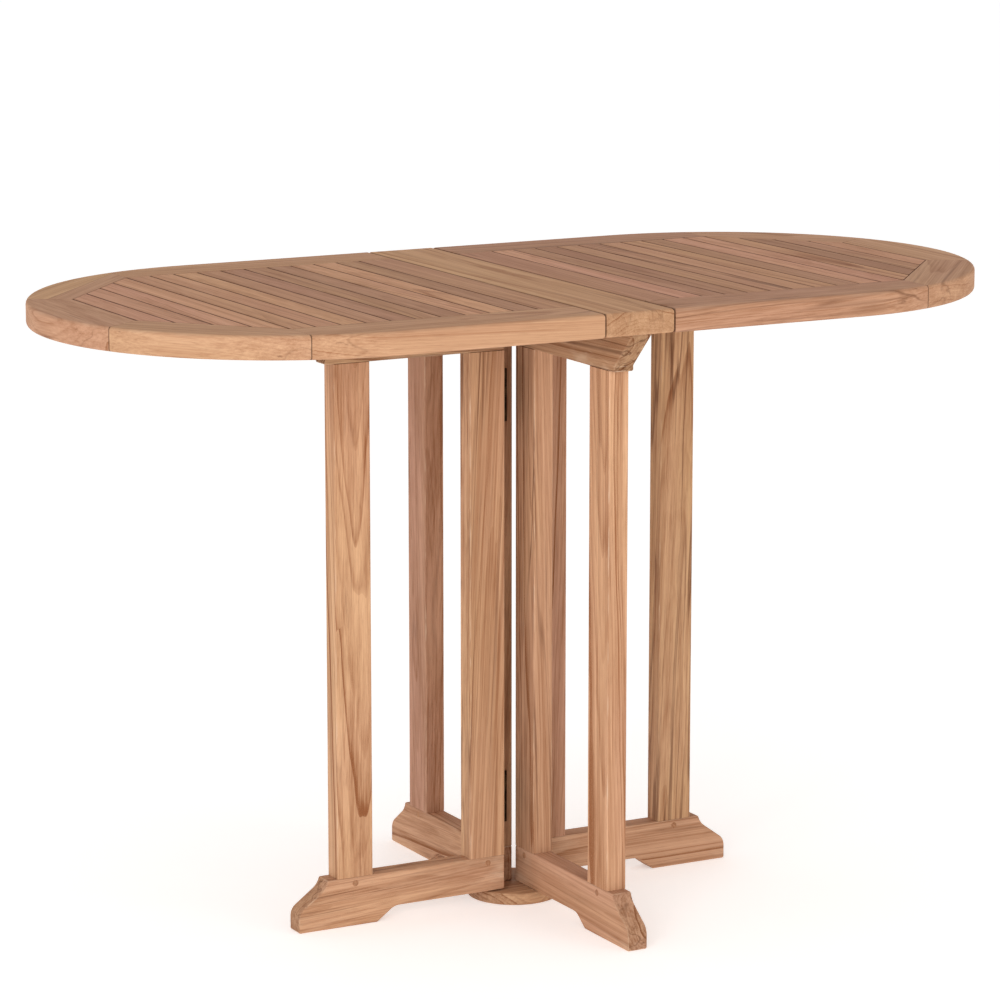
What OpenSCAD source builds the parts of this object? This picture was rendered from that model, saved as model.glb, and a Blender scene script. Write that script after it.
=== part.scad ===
// Gateleg table with an oval slatted top, two drop leaves and two swinging gates.
// X runs along the table, Y across it, Z up. The origin is on the floor under the centre.
// The base is a cross of four gates. The front and back gates are fixed under the centre
// board. The left gate hangs on the back gate and the right gate on the front gate, so that
// each folds flat beside the fixed gate that it doesn't hang on.

/* [Top] */
// Length of the opened top
top_l = 1200; // [1100:10:1300]
// Width of the top
top_w = 600; // [560:5:640]
// Height of the top above the floor
top_h = 760; // [740:5:780]
// Thickness of the top's frame and centre board
top_t = 28; // [26:1:30]
// Width of the fixed centre board
board_w = 88; // [86:1:92]
// Gap between the centre board and each leaf
seam = 2; // [1.6:0.2:2.4]
// Bevel around the top's outer edge
edge_bevel = 3; // [2:0.5:4]
// Bevel along the seams beside the centre board
seam_bevel = 4; // [3.5:0.25:5]
// Width of the rail that carries each leaf's hinges
hinge_rail_w = 46; // [44:1:50]
// Width of the side and end rails at the middle
rail_w = 71; // [66:1:74]

/* [Slats] */
// Number of slats that reach from side rail to side rail
long_slats = 10; // [8:1:10]
// Number of shortened slats at the end of a leaf
short_slats = 4; // [3:1:4]
// Distance from one slat to the next
slat_pitch = 31; // [30.5:0.5:31]
// Gap between two slats
slat_gap = 2; // [1.5:0.5:3]
// Thickness of a slat
slat_t = 20; // [18:1:22]
// Thickness of the tongues on the slats' ends
tongue_t = 8; // [6:1:9]
// Length of the tongues
tongue_l = 10; // [8:1:12]
// Width of the bearer under each leaf's slats
bearer_w = 50; // [44:1:54]

/* [Gates] */
// Thickness of every gate
gate_t = 26; // [24:1:26]
// Width of the posts, seen square to the gate
post_w = 47; // [42:1:50]
// Distance from a gate's inner end to the outer face of its outer post
post_reach = 226; // [210:2:232]
// Length of a gate at the floor
foot_l = 277; // [270:1:280]
// Height of the top of the foot rails
foot_h = 60; // [56:1:64]
// Length of the pad that stands on the floor
pad_l = 104; // [90:2:110]
// Height of the gates' top rails
top_rail_h = 51; // [46:1:56]
// Distance from the centre plane to a fixed gate
plane_gap = 2; // [2:0.5:3]
// Length of the tenons on the posts
tenon_l = 24; // [20:1:28]
// Bevel on the posts' long edges
post_bevel = 2; // [1:0.5:4]
// Diameter of the pegs through the foot tenons
peg_d = 8; // [6:1:10]

/* [Base disc] */
// Diameter of the disc under the cross
disc_d = 114; // [104:2:120]
// Thickness of the disc
disc_t = 15; // [13:1:16]

/* [Hinges] */
// Height of the gate hinges
gate_hinge_h = 64; // [50:2:70]
// Height of the lower gate hinge above the floor
gate_hinge_low = 92; // [80:2:120]
// Height of the upper gate hinge above the floor
gate_hinge_high = 589; // [540:1:600]
// Length of a leaf hinge
leaf_hinge_l = 60; // [50:2:70]
// Distance from the middle of the table to each leaf hinge
leaf_hinge_y = 185; // [150:5:190]
// Thickness of the hinge plates
plate_t = 1.8; // [1.5:0.1:1.8]
// Reach of a gate hinge plate from the pin
gate_plate_w = 18; // [16:0.5:20]
// Reach of a leaf hinge plate from the pin
leaf_plate_w = 18; // [16:0.5:20]
// Radius of the knuckles
knuckle_r = 2.9; // [2.6:0.1:3]
// Radius of the hinge pins
pin_r = 1.3; // [1.1:0.1:1.5]

/* [Hidden] */
$fn = 64;

FRAME_WOOD = [0.78, 0.58, 0.42];
BOARD_WOOD = [0.80, 0.62, 0.42];
SLAT_WOOD = [0.68, 0.51, 0.41];
GATE_WOOD = [0.76, 0.56, 0.40];
HINGE_BRASS = [0.62, 0.49, 0.26];
SCREW_BRASS = [0.70, 0.57, 0.33];

under = top_h - top_t;
end_r = top_w / 2;
end_x = top_l / 2 - end_r;
leaf_x = board_w / 2 + seam;
slats_x = leaf_x + hinge_rail_w;
slat_count = long_slats + short_slats;
corner_x = slats_x + 1 + long_slats * slat_pitch;
tip_x = slats_x + slat_gap + slat_count * slat_pitch;
corner_y = end_r - rail_w;
tip_y = corner_y - (tip_x - corner_x) * 1.09;
end_joint_angle = 33;
strip_offset = 28;
outside = top_l;
slat_play = 0.4;
tongue_z = top_h - slat_t / 2;
groove_start = leaf_x + 8;

leaf_pin_x = board_w / 2 + seam / 2;
plate_sink = 0.4;
leaf_pin_z = under + plate_sink + knuckle_r - 0.1;
knuckle_play = 0.3;
pocket_play = 0.6;
pin_play = 0.05;
plate_screw_x = 11;
plate_screw_l = 20;
plate_screw_z = [-22, 0, 22];

gate_end_x = plane_gap + gate_t + 1.5;
gate_pin_x = gate_end_x - 1;
gate_pin_y = 3;
gate_side_y = 6;
rail_bottom = disc_t + 2;
gate_top = under - 0.4;
post_top = gate_top - top_rail_h;
tenon_w = post_w - 16;
tenon_t = 12;
tenon_play = 0.2;
peg_z = foot_h - 7.5;
post_mid_in = post_w / 2;
post_mid_out = post_reach - post_w / 2;

// The foot's outer end is a round toe, a straight slope and a hollow up to the rail's top.
toe_r = 16;
toe_h = 17;
toe_sweep = 54;
slope_l = 22.5;
hollow_r = 23;
arch_r = 20;
arch_slope = 36;
rail_end_l = 11;
rail_end_h = 6.5;

function arc(cx, cy, r, from, to, steps) =
    [for (i = [0 : steps]) [cx + r * cos(from + (to - from) * i / steps),
                            cy + r * sin(from + (to - from) * i / steps)]];

// A corner moved outward so that both its edges, with unit normals n and m, move by d.
function mitred(p, n, m, d) = p + d * (n + m) / (1 + n * m);

// ---- plan shapes of the right-hand leaf ----

slant = [corner_y - tip_y, tip_x - corner_x] / norm([corner_y - tip_y, tip_x - corner_x]);
slant_low = [slant[0], -slant[1]];
corner = [corner_x, corner_y];
tip = [tip_x, tip_y];

// The opening in a leaf's frame, with each edge moved outward by d.
function opening(d) = [
    [slats_x - outside, -(corner_y + d)],
    mitred([corner[0], -corner[1]], [0, -1], slant_low, d),
    mitred([tip[0], -tip[1]], slant_low, [1, 0], d),
    mitred(tip, [1, 0], slant, d),
    mitred(corner, slant, [0, 1], d),
    [slats_x - outside, corner_y + d]
];

joint_end = tip + outside * [cos(end_joint_angle), sin(end_joint_angle)];
side_plan = [[leaf_x, corner_y], [corner_x, corner_y], [corner_x, outside], [leaf_x, outside]];
corner_plan = [corner, [corner_x, outside], joint_end, tip];
end_plan = [tip, joint_end, [joint_end[0], -joint_end[1]], [tip[0], -tip[1]]];

// Section through the top's thickness, with all four edges bevelled.
function bevelled(half, bevel) = [
    [bevel - half, under], [half - bevel, under], [half, under + bevel], [half, top_h - bevel],
    [half - bevel, top_h], [bevel - half, top_h], [-half, top_h - bevel], [-half, under + bevel]
];

module top_middle() {
    rotate([90, 0, 90]) linear_extrude(2 * end_x, center = true) polygon(bevelled(end_r, edge_bevel));
}

// The part of the oval top that lies beyond the centre board on the right.
module right_envelope() {
    edge = [
        [0, under], [end_r - edge_bevel, under], [end_r, under + edge_bevel],
        [end_r, top_h - edge_bevel], [end_r - edge_bevel, top_h], [0, top_h]
    ];
    top_middle();
    translate([end_x, 0, 0]) rotate_extrude($fn = 180) polygon(edge);
}

// Cuts the bevels along the seam side of a leaf.
module seam_bevels() {
    for (z = [under, top_h]) {
        translate([leaf_x, 0, z]) rotate([0, 45, 0]) {
            cube([seam_bevel * sqrt(2), outside, seam_bevel * sqrt(2)], center = true);
        }
    }
}

module top_piece(plan) {
    difference() {
        intersection() {
            translate([0, 0, under]) linear_extrude(top_t) polygon(plan);
            right_envelope();
        }
        seam_bevels();
    }
}

module groove() {
    translate([0, 0, tongue_z - tongue_t / 2]) linear_extrude(tongue_t) intersection() {
        polygon(opening(tongue_l + slat_play));
        translate([groove_start, -outside]) square([outside, 2 * outside]);
    }
}

// The rail along the back of the right-hand leaf.
module side_rail() {
    difference() {
        top_piece(side_plan);
        groove();
    }
}

// The block at the back corner of the right-hand leaf.
module corner_block() {
    difference() {
        top_piece(corner_plan);
        groove();
    }
}

// Everything further than strip_offset outside the back corner's slanted inner edge.
module beyond_strip_line() {
    translate([corner_x, corner_y, 0]) rotate([0, 0, atan2(slant[1], slant[0])]) {
        translate([strip_offset, -outside, 0]) cube([outside, 2 * outside, outside]);
    }
}

module end_rail() {
    difference() {
        top_piece(end_plan);
        groove();
    }
}

module hinge_rail() {
    reach = corner_y + tongue_l;
    difference() {
        union() {
            translate([leaf_x, -corner_y, under]) cube([hinge_rail_w, 2 * corner_y, top_t]);
            translate([groove_start, -reach, tongue_z - tongue_t / 2]) {
                cube([slats_x - groove_start, 2 * reach, tongue_t]);
            }
        }
        seam_bevels();
        leaf_hinge_pockets();
        at_leaf_hinges() leaf_plate_recess();
        leaf_hinge_screw_bodies();
    }
}

module slat_body(i) {
    x = slats_x + slat_gap / 2 + 1 + i * slat_pitch;
    width = slat_pitch - slat_gap;
    intersection() {
        translate([x, -outside, top_h - slat_t]) cube([width, 2 * outside, slat_t]);
        linear_extrude(outside) polygon(opening(-slat_play));
    }
    intersection() {
        translate([x, -outside, tongue_z - tongue_t / 2]) cube([width, 2 * outside, tongue_t]);
        linear_extrude(outside) polygon(opening(tongue_l));
    }
}

module slats(first, last) {
    for (i = [first : last]) {
        difference() {
            slat_body(i);
            bearer_screw(i);
        }
    }
}

bearer_y = gate_side_y + gate_t / 2;
bearer_t = top_t - slat_t;
bearer_screw_l = bearer_t + 14;

module bearer() {
    difference() {
        translate([slats_x + 1, bearer_y - bearer_w / 2, under]) {
            cube([tip_x - slats_x - 2, bearer_w, bearer_t]);
        }
        for (i = [0 : slat_count - 1]) bearer_screw(i);
    }
}

// A countersunk screw with its head at the origin and its shank up along Z.
module screw(length, shank_r, head_r) {
    head_h = head_r - shank_r;
    cylinder(h = head_h, r1 = head_r, r2 = shank_r);
    translate([0, 0, head_h]) cylinder(h = length - head_h, r = shank_r);
}

module bearer_screw(i) {
    x = slats_x + slat_gap / 2 + 1 + i * slat_pitch + (slat_pitch - slat_gap) / 2;
    translate([x, bearer_y, under]) screw(bearer_screw_l, 1.75, 3.5);
}

// ---- leaf hinges, for the right-hand leaf ----

module at_leaf_hinges() {
    for (y = [-leaf_hinge_y, leaf_hinge_y]) translate([leaf_pin_x, y, 0]) children();
}

// One knuckle with the neck that joins it to its plate.
module knuckle(length, reach, base_y) {
    cylinder(h = length, r = knuckle_r);
    translate([0, base_y, 0]) cube([reach / 2, plate_t, length]);
}

// A plate that reaches out along +X beside its knuckles, with its lower face at base_y.
// It has either the middle knuckle or the two end knuckles.
module hinge_plate(axis_l, reach, base_y, middle) {
    third = axis_l / 3;
    plate_start = knuckle_r + pocket_play;
    difference() {
        union() {
            translate([plate_start, base_y, -axis_l / 2]) cube([reach - plate_start, plate_t, axis_l]);
            if (middle) {
                translate([0, 0, knuckle_play - third / 2]) {
                    knuckle(third - 2 * knuckle_play, reach, base_y);
                }
            } else {
                for (z = [-axis_l / 2, third / 2]) translate([0, 0, z]) knuckle(third, reach, base_y);
            }
        }
        cylinder(h = 2 * axis_l, r = pin_r + pin_play, center = true);
    }
}

// A leaf hinge plate lies flat in the underside, with its pin along Y.
module leaf_plate(middle) {
    translate([0, 0, leaf_pin_z]) rotate([90, 0, 0]) {
        hinge_plate(leaf_hinge_l, leaf_plate_w, under + plate_sink - leaf_pin_z, middle);
    }
}

module leaf_plate_recess() {
    length = leaf_hinge_l + pocket_play;
    translate([0, -length / 2, under - 1]) {
        cube([leaf_plate_w + pocket_play / 2, length, 1 + plate_sink + plate_t]);
    }
}

module leaf_hinge_pockets() {
    length = leaf_hinge_l + 2 * pocket_play;
    pocket_r = knuckle_r + pocket_play;
    at_leaf_hinges() {
        translate([0, 0, leaf_pin_z]) rotate([90, 0, 0]) cylinder(h = length, r = pocket_r, center = true);
        translate([-pocket_r, -length / 2, under - 1]) cube([2 * pocket_r, length, leaf_pin_z - under + 1]);
    }
}

module plate_screw() {
    screw(plate_screw_l, 1.6, 3);
}

module leaf_screws() {
    for (y = [-20, 0, 20]) translate([plate_screw_x, y, under + plate_sink]) plate_screw();
}

module leaf_hinge_screw_bodies() {
    at_leaf_hinges() leaf_screws();
}

module leaf_hinge_plates() {
    difference() {
        at_leaf_hinges() leaf_plate(true);
        leaf_hinge_screw_bodies();
    }
}

// ---- centre board ----

module turned_over() {
    rotate([0, 0, 180]) children();
}

module both_ways() {
    children();
    turned_over() children();
}

module board_side_hinges() {
    both_ways() at_leaf_hinges() turned_over() children();
}

module board_hinge_screw_bodies() {
    board_side_hinges() leaf_screws();
}

module centre_board_body() {
    difference() {
        intersection() {
            rotate([90, 0, 0]) {
                linear_extrude(top_w, center = true) polygon(bevelled(board_w / 2, seam_bevel));
            }
            top_middle();
        }
        both_ways() leaf_hinge_pockets();
        board_side_hinges() leaf_plate_recess();
        board_hinge_screw_bodies();
        board_screw_bodies();
    }
}

// ---- gates: x runs from the inner end outward, y through the thickness ----

// Outline of a foot, with its inner end at x = 0 and its rail's underside at low.
function foot_outline(low) =
    let (toe_end = [toe_r * (1 - cos(toe_sweep)), toe_h + toe_r * sin(toe_sweep)])
    let (slope = 90 - toe_sweep)
    let (slope_end = toe_end + slope_l * [1, tan(slope)])
    let (hollow = slope_end + hollow_r * [-sin(slope), cos(slope)])
    let (hollow_end = asin((foot_h - hollow[1]) / hollow_r))
    let (from_tip = concat(
        [[0, 0]],
        arc(toe_r, toe_h, toe_r, 180, 180 - toe_sweep, 8),
        arc(hollow[0], hollow[1], hollow_r, slope - 90, hollow_end, 8)
    ))
    let (arch_start = low - arch_r * (1 - cos(arch_slope)))
    let (arch_x = foot_l - pad_l - arch_start / tan(arch_slope) - arch_r * sin(arch_slope))
    concat(
        [[0, low], [0, foot_h]],
        [for (i = [len(from_tip) - 1 : -1 : 0]) [foot_l - from_tip[i][0], from_tip[i][1]]],
        [[foot_l - pad_l, 0]],
        arc(arch_x, low - arch_r, arch_r, 90 - arch_slope, 90, 6)
    );

module on_edge(thickness) {
    translate([0, thickness, 0]) rotate([90, 0, 0]) linear_extrude(thickness) children();
}

module tenon_hole(mid, z, depth) {
    width = tenon_w + 2 * tenon_play;
    thickness = tenon_t + 2 * tenon_play;
    translate([mid - width / 2, (gate_t - thickness) / 2, z]) cube([width, thickness, depth]);
}

module peg_at(mid) {
    translate([mid, gate_t, peg_z]) rotate([90, 0, 0]) cylinder(h = gate_t, d = peg_d);
}

module foot(low) {
    difference() {
        on_edge(gate_t) polygon(foot_outline(low));
        for (mid = [post_mid_in, post_mid_out]) {
            tenon_hole(mid, foot_h - tenon_l - tenon_play, tenon_l + 1);
            peg_at(mid);
        }
    }
}

module top_rail(top) {
    square_l = post_reach + rail_end_l;
    slant_l = top_rail_h - rail_end_h;
    outline = [
        [0, post_top], [square_l, post_top], [square_l, post_top + rail_end_h],
        [square_l + slant_l, top], [0, top]
    ];
    difference() {
        on_edge(gate_t) polygon(outline);
        for (mid = [post_mid_in, post_mid_out]) {
            tenon_hole(mid, post_top - 1, tenon_l + 1 + tenon_play);
        }
    }
}

module post_section() {
    polygon([
        [post_bevel, 0], [post_w - post_bevel, 0], [post_w, post_bevel], [post_w, gate_t - post_bevel],
        [post_w - post_bevel, gate_t], [post_bevel, gate_t], [0, gate_t - post_bevel], [0, post_bevel]
    ]);
}

module post(mid) {
    difference() {
        union() {
            translate([mid - post_w / 2, 0, foot_h]) linear_extrude(post_top - foot_h) post_section();
            translate([mid - tenon_w / 2, (gate_t - tenon_t) / 2, foot_h - tenon_l]) {
                cube([tenon_w, tenon_t, post_top - foot_h + 2 * tenon_l]);
            }
        }
        peg_at(mid);
    }
}

module pegs() {
    for (mid = [post_mid_in, post_mid_out]) peg_at(mid);
}

module front_gate() {
    translate([plane_gap, 0, 0]) rotate([0, 0, -90]) children();
}

module back_gate() {
    turned_over() front_gate() children();
}

module right_gate() {
    translate([gate_end_x, gate_side_y, 0]) children();
}

module left_gate() {
    turned_over() right_gate() children();
}

// ---- disc and the screws that hold the fixed gates ----

fixed_mid_x = plane_gap + gate_t / 2;
disc_screw_y = [11, 40];
board_screw_y = [80, 146];
board_bore = 14;
board_screw_l = under + 14 - post_top - board_bore;

module disc_screw_bodies() {
    both_ways() for (y = disc_screw_y) translate([fixed_mid_x, -y, 0]) screw(34, 2.25, 4.5);
}

module disc() {
    r = disc_d / 2;
    difference() {
        rotate_extrude($fn = 120) {
            polygon([[0, 0], [r, 0], [r, disc_t - 1.5], [r - 1.5, disc_t], [0, disc_t]]);
        }
        disc_screw_bodies();
    }
}

// Long screws stand in counterbores under the fixed top rails and reach into the board.
module board_screw_bodies() {
    both_ways() for (y = board_screw_y) {
        translate([fixed_mid_x, -y, post_top + board_bore]) screw(board_screw_l, 2.25, 4.5);
    }
}

module fixed_top_rail() {
    difference() {
        front_gate() top_rail(under);
        board_screw_bodies();
        for (y = board_screw_y) {
            translate([fixed_mid_x, -y, post_top - 1]) cylinder(h = board_bore + 1, r = 5);
        }
    }
}

module fixed_foot() {
    difference() {
        front_gate() foot(disc_t);
        disc_screw_bodies();
    }
}

// ---- gate hinges, for the right gate on the front gate ----

module at_gate_hinges() {
    for (z = [gate_hinge_low, gate_hinge_high]) {
        translate([gate_pin_x, gate_pin_y, z + gate_hinge_h / 2]) children();
    }
}

// The moving plate lies on the gate's inner end and reaches along +Y.
module gate_plate_moving() {
    rotate([0, 0, 90]) hinge_plate(gate_hinge_h, gate_plate_w, gate_pin_x - gate_end_x, true);
}

// The fixed plate lies on the front gate's inner end and reaches along -X.
module gate_plate_fixed() {
    turned_over() hinge_plate(gate_hinge_h, gate_plate_w, gate_pin_y - plate_t, false);
}

module moving_hinge_screw_bodies() {
    at_gate_hinges() for (z = plate_screw_z) {
        translate([gate_end_x - gate_pin_x - plate_t, plate_screw_x, z]) rotate([0, 90, 0]) plate_screw();
    }
}

module fixed_hinge_screw_bodies() {
    at_gate_hinges() for (z = plate_screw_z) {
        translate([-plate_screw_x, plate_t - gate_pin_y, z]) rotate([90, 0, 0]) plate_screw();
    }
}

module moving_inner_post() {
    difference() {
        right_gate() post(post_mid_in);
        moving_hinge_screw_bodies();
    }
}

module fixed_inner_post() {
    difference() {
        front_gate() post(post_mid_in);
        fixed_hinge_screw_bodies();
    }
}

module moving_gate_plates() {
    difference() {
        at_gate_hinges() gate_plate_moving();
        moving_hinge_screw_bodies();
    }
}

// Reflects a back piece of the right-hand leaf to its front.
module in_front() {
    mirror([0, 1, 0]) children();
}

// ---- the nodes ----

module centre_board() { color(BOARD_WOOD) centre_board_body(); }

module left_hinge_rail() { color(SLAT_WOOD) turned_over() hinge_rail(); }
module left_front_rail() { color(FRAME_WOOD) turned_over() side_rail(); }
module left_back_rail() { color(FRAME_WOOD) turned_over() in_front() side_rail(); }
module left_end_rail() { color(FRAME_WOOD) turned_over() end_rail(); }
module left_front_corner() { color(FRAME_WOOD) turned_over() corner_block(); }
module left_back_corner() {
    color(FRAME_WOOD) turned_over() in_front() difference() {
        corner_block();
        beyond_strip_line();
    }
}
module left_back_corner_strip() {
    color(BOARD_WOOD) turned_over() in_front() intersection() {
        corner_block();
        beyond_strip_line();
    }
}
module left_long_slats() { color(SLAT_WOOD) turned_over() slats(0, long_slats - 1); }
module left_short_slats() { color(SLAT_WOOD) turned_over() slats(long_slats, slat_count - 1); }
module left_bearer() { color(GATE_WOOD) turned_over() bearer(); }
module left_bearer_screws() {
    color(SCREW_BRASS) turned_over() for (i = [0 : slat_count - 1]) bearer_screw(i);
}
module left_leaf_hinge_plates() { color(HINGE_BRASS) turned_over() leaf_hinge_plates(); }
module left_leaf_hinge_screws() { color(SCREW_BRASS) turned_over() leaf_hinge_screw_bodies(); }

module right_hinge_rail() { color(SLAT_WOOD) hinge_rail(); }
module right_front_rail() { color(FRAME_WOOD) in_front() side_rail(); }
module right_back_rail() { color(FRAME_WOOD) side_rail(); }
module right_end_rail() { color(FRAME_WOOD) end_rail(); }
module right_front_corner() { color(FRAME_WOOD) in_front() corner_block(); }
module right_back_corner() { color(FRAME_WOOD) corner_block(); }
module right_long_slats() { color(SLAT_WOOD) slats(0, long_slats - 1); }
module right_short_slats() { color(SLAT_WOOD) slats(long_slats, slat_count - 1); }
module right_bearer() { color(GATE_WOOD) bearer(); }
module right_bearer_screws() { color(SCREW_BRASS) for (i = [0 : slat_count - 1]) bearer_screw(i); }
module right_leaf_hinge_plates() { color(HINGE_BRASS) leaf_hinge_plates(); }
module right_leaf_hinge_screws() { color(SCREW_BRASS) leaf_hinge_screw_bodies(); }

module front_foot() { color(GATE_WOOD) fixed_foot(); }
module front_top_rail() { color(GATE_WOOD) fixed_top_rail(); }
module front_inner_post() { color(GATE_WOOD) fixed_inner_post(); }
module front_outer_post() { color(GATE_WOOD) front_gate() post(post_mid_out); }
module front_pegs() { color(FRAME_WOOD) front_gate() pegs(); }

module back_foot() { color(GATE_WOOD) turned_over() fixed_foot(); }
module back_top_rail() { color(GATE_WOOD) turned_over() fixed_top_rail(); }
module back_inner_post() { color(GATE_WOOD) turned_over() fixed_inner_post(); }
module back_outer_post() { color(GATE_WOOD) back_gate() post(post_mid_out); }
module back_pegs() { color(FRAME_WOOD) back_gate() pegs(); }

module left_foot() { color(GATE_WOOD) left_gate() foot(rail_bottom); }
module left_top_rail() { color(GATE_WOOD) left_gate() top_rail(gate_top); }
module left_inner_post() { color(GATE_WOOD) turned_over() moving_inner_post(); }
module left_outer_post() { color(GATE_WOOD) left_gate() post(post_mid_out); }
module left_pegs() { color(FRAME_WOOD) left_gate() pegs(); }

module right_foot() { color(GATE_WOOD) right_gate() foot(rail_bottom); }
module right_top_rail() { color(GATE_WOOD) right_gate() top_rail(gate_top); }
module right_inner_post() { color(GATE_WOOD) moving_inner_post(); }
module right_outer_post() { color(GATE_WOOD) right_gate() post(post_mid_out); }
module right_pegs() { color(FRAME_WOOD) right_gate() pegs(); }

module base_disc() { color(FRAME_WOOD) disc(); }
module disc_screws() { color(SCREW_BRASS) disc_screw_bodies(); }
module board_screws() { color(SCREW_BRASS) board_screw_bodies(); }

module board_hinge_plates() {
    color(HINGE_BRASS) difference() {
        board_side_hinges() leaf_plate(false);
        board_hinge_screw_bodies();
    }
}
module leaf_hinge_pins() {
    color(HINGE_BRASS) both_ways() at_leaf_hinges() {
        translate([0, 0, leaf_pin_z]) rotate([90, 0, 0]) {
            cylinder(h = leaf_hinge_l, r = pin_r, center = true);
        }
    }
}
module fixed_gate_hinge_plates() {
    color(HINGE_BRASS) both_ways() difference() {
        at_gate_hinges() gate_plate_fixed();
        fixed_hinge_screw_bodies();
    }
}
module gate_hinge_pins() {
    color(HINGE_BRASS) both_ways() at_gate_hinges() {
        cylinder(h = gate_hinge_h, r = pin_r, center = true);
    }
}
module fixed_hinge_screws() {
    color(SCREW_BRASS) {
        both_ways() fixed_hinge_screw_bodies();
        board_hinge_screw_bodies();
    }
}
module left_gate_hinge_plates() { color(HINGE_BRASS) turned_over() moving_gate_plates(); }
module left_gate_hinge_screws() { color(SCREW_BRASS) turned_over() moving_hinge_screw_bodies(); }
module right_gate_hinge_plates() { color(HINGE_BRASS) moving_gate_plates(); }
module right_gate_hinge_screws() { color(SCREW_BRASS) moving_hinge_screw_bodies(); }

centre_board();
left_hinge_rail();
left_front_rail();
left_back_rail();
left_end_rail();
left_front_corner();
left_back_corner();
left_back_corner_strip();
left_long_slats();
left_short_slats();
left_bearer();
left_bearer_screws();
left_leaf_hinge_plates();
left_leaf_hinge_screws();
right_hinge_rail();
right_front_rail();
right_back_rail();
right_end_rail();
right_front_corner();
right_back_corner();
right_long_slats();
right_short_slats();
right_bearer();
right_bearer_screws();
right_leaf_hinge_plates();
right_leaf_hinge_screws();
front_foot();
front_top_rail();
front_inner_post();
front_outer_post();
front_pegs();
back_foot();
back_top_rail();
back_inner_post();
back_outer_post();
back_pegs();
left_foot();
left_top_rail();
left_inner_post();
left_outer_post();
left_pegs();
right_foot();
right_top_rail();
right_inner_post();
right_outer_post();
right_pegs();
base_disc();
disc_screws();
board_screws();
board_hinge_plates();
leaf_hinge_pins();
fixed_gate_hinge_plates();
gate_hinge_pins();
fixed_hinge_screws();
left_gate_hinge_plates();
left_gate_hinge_screws();
right_gate_hinge_plates();
right_gate_hinge_screws();
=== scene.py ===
"""Looks of an oval gateleg table in oiled teak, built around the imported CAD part.

Every wooden piece is a new surface with eased edges that stands for one CAD node. The hinges,
pins and screws stay as CAD nodes and get a darkened brass. Sizes are in millimetres until a
mesh is made, and metres from there on.
"""

import logging
from dataclasses import dataclass, field, replace
from enum import Enum

import bpy
import numpy as np
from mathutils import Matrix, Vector


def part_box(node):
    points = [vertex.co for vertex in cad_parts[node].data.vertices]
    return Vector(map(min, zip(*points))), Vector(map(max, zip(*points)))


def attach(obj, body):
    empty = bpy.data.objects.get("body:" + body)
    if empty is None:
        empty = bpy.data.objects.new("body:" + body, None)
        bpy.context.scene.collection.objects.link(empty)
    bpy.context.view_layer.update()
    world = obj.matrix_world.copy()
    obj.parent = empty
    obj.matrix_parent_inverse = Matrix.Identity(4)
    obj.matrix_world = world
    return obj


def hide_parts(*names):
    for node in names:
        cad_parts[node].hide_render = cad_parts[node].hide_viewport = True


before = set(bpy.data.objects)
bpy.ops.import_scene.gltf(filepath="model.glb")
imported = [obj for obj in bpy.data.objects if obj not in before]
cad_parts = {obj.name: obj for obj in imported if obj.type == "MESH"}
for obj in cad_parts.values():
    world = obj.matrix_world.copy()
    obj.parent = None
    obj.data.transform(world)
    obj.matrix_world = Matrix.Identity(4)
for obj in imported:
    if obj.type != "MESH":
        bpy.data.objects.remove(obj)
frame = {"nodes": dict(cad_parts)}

LOG = logging.getLogger("gateleg_table")
MM = 0.001
Colour = tuple[float, float, float]
Point = tuple[float, float, float]


def cad_box(node: str) -> tuple[np.ndarray, np.ndarray]:
    """Reads a CAD node's lowest and highest corners.

    Args:
        node: Name of the CAD node.

    Returns:
        The two corners in millimetres.
    """
    low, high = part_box(node)
    return np.array(low) / MM, np.array(high) / MM


# ---- Shapes ----


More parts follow.
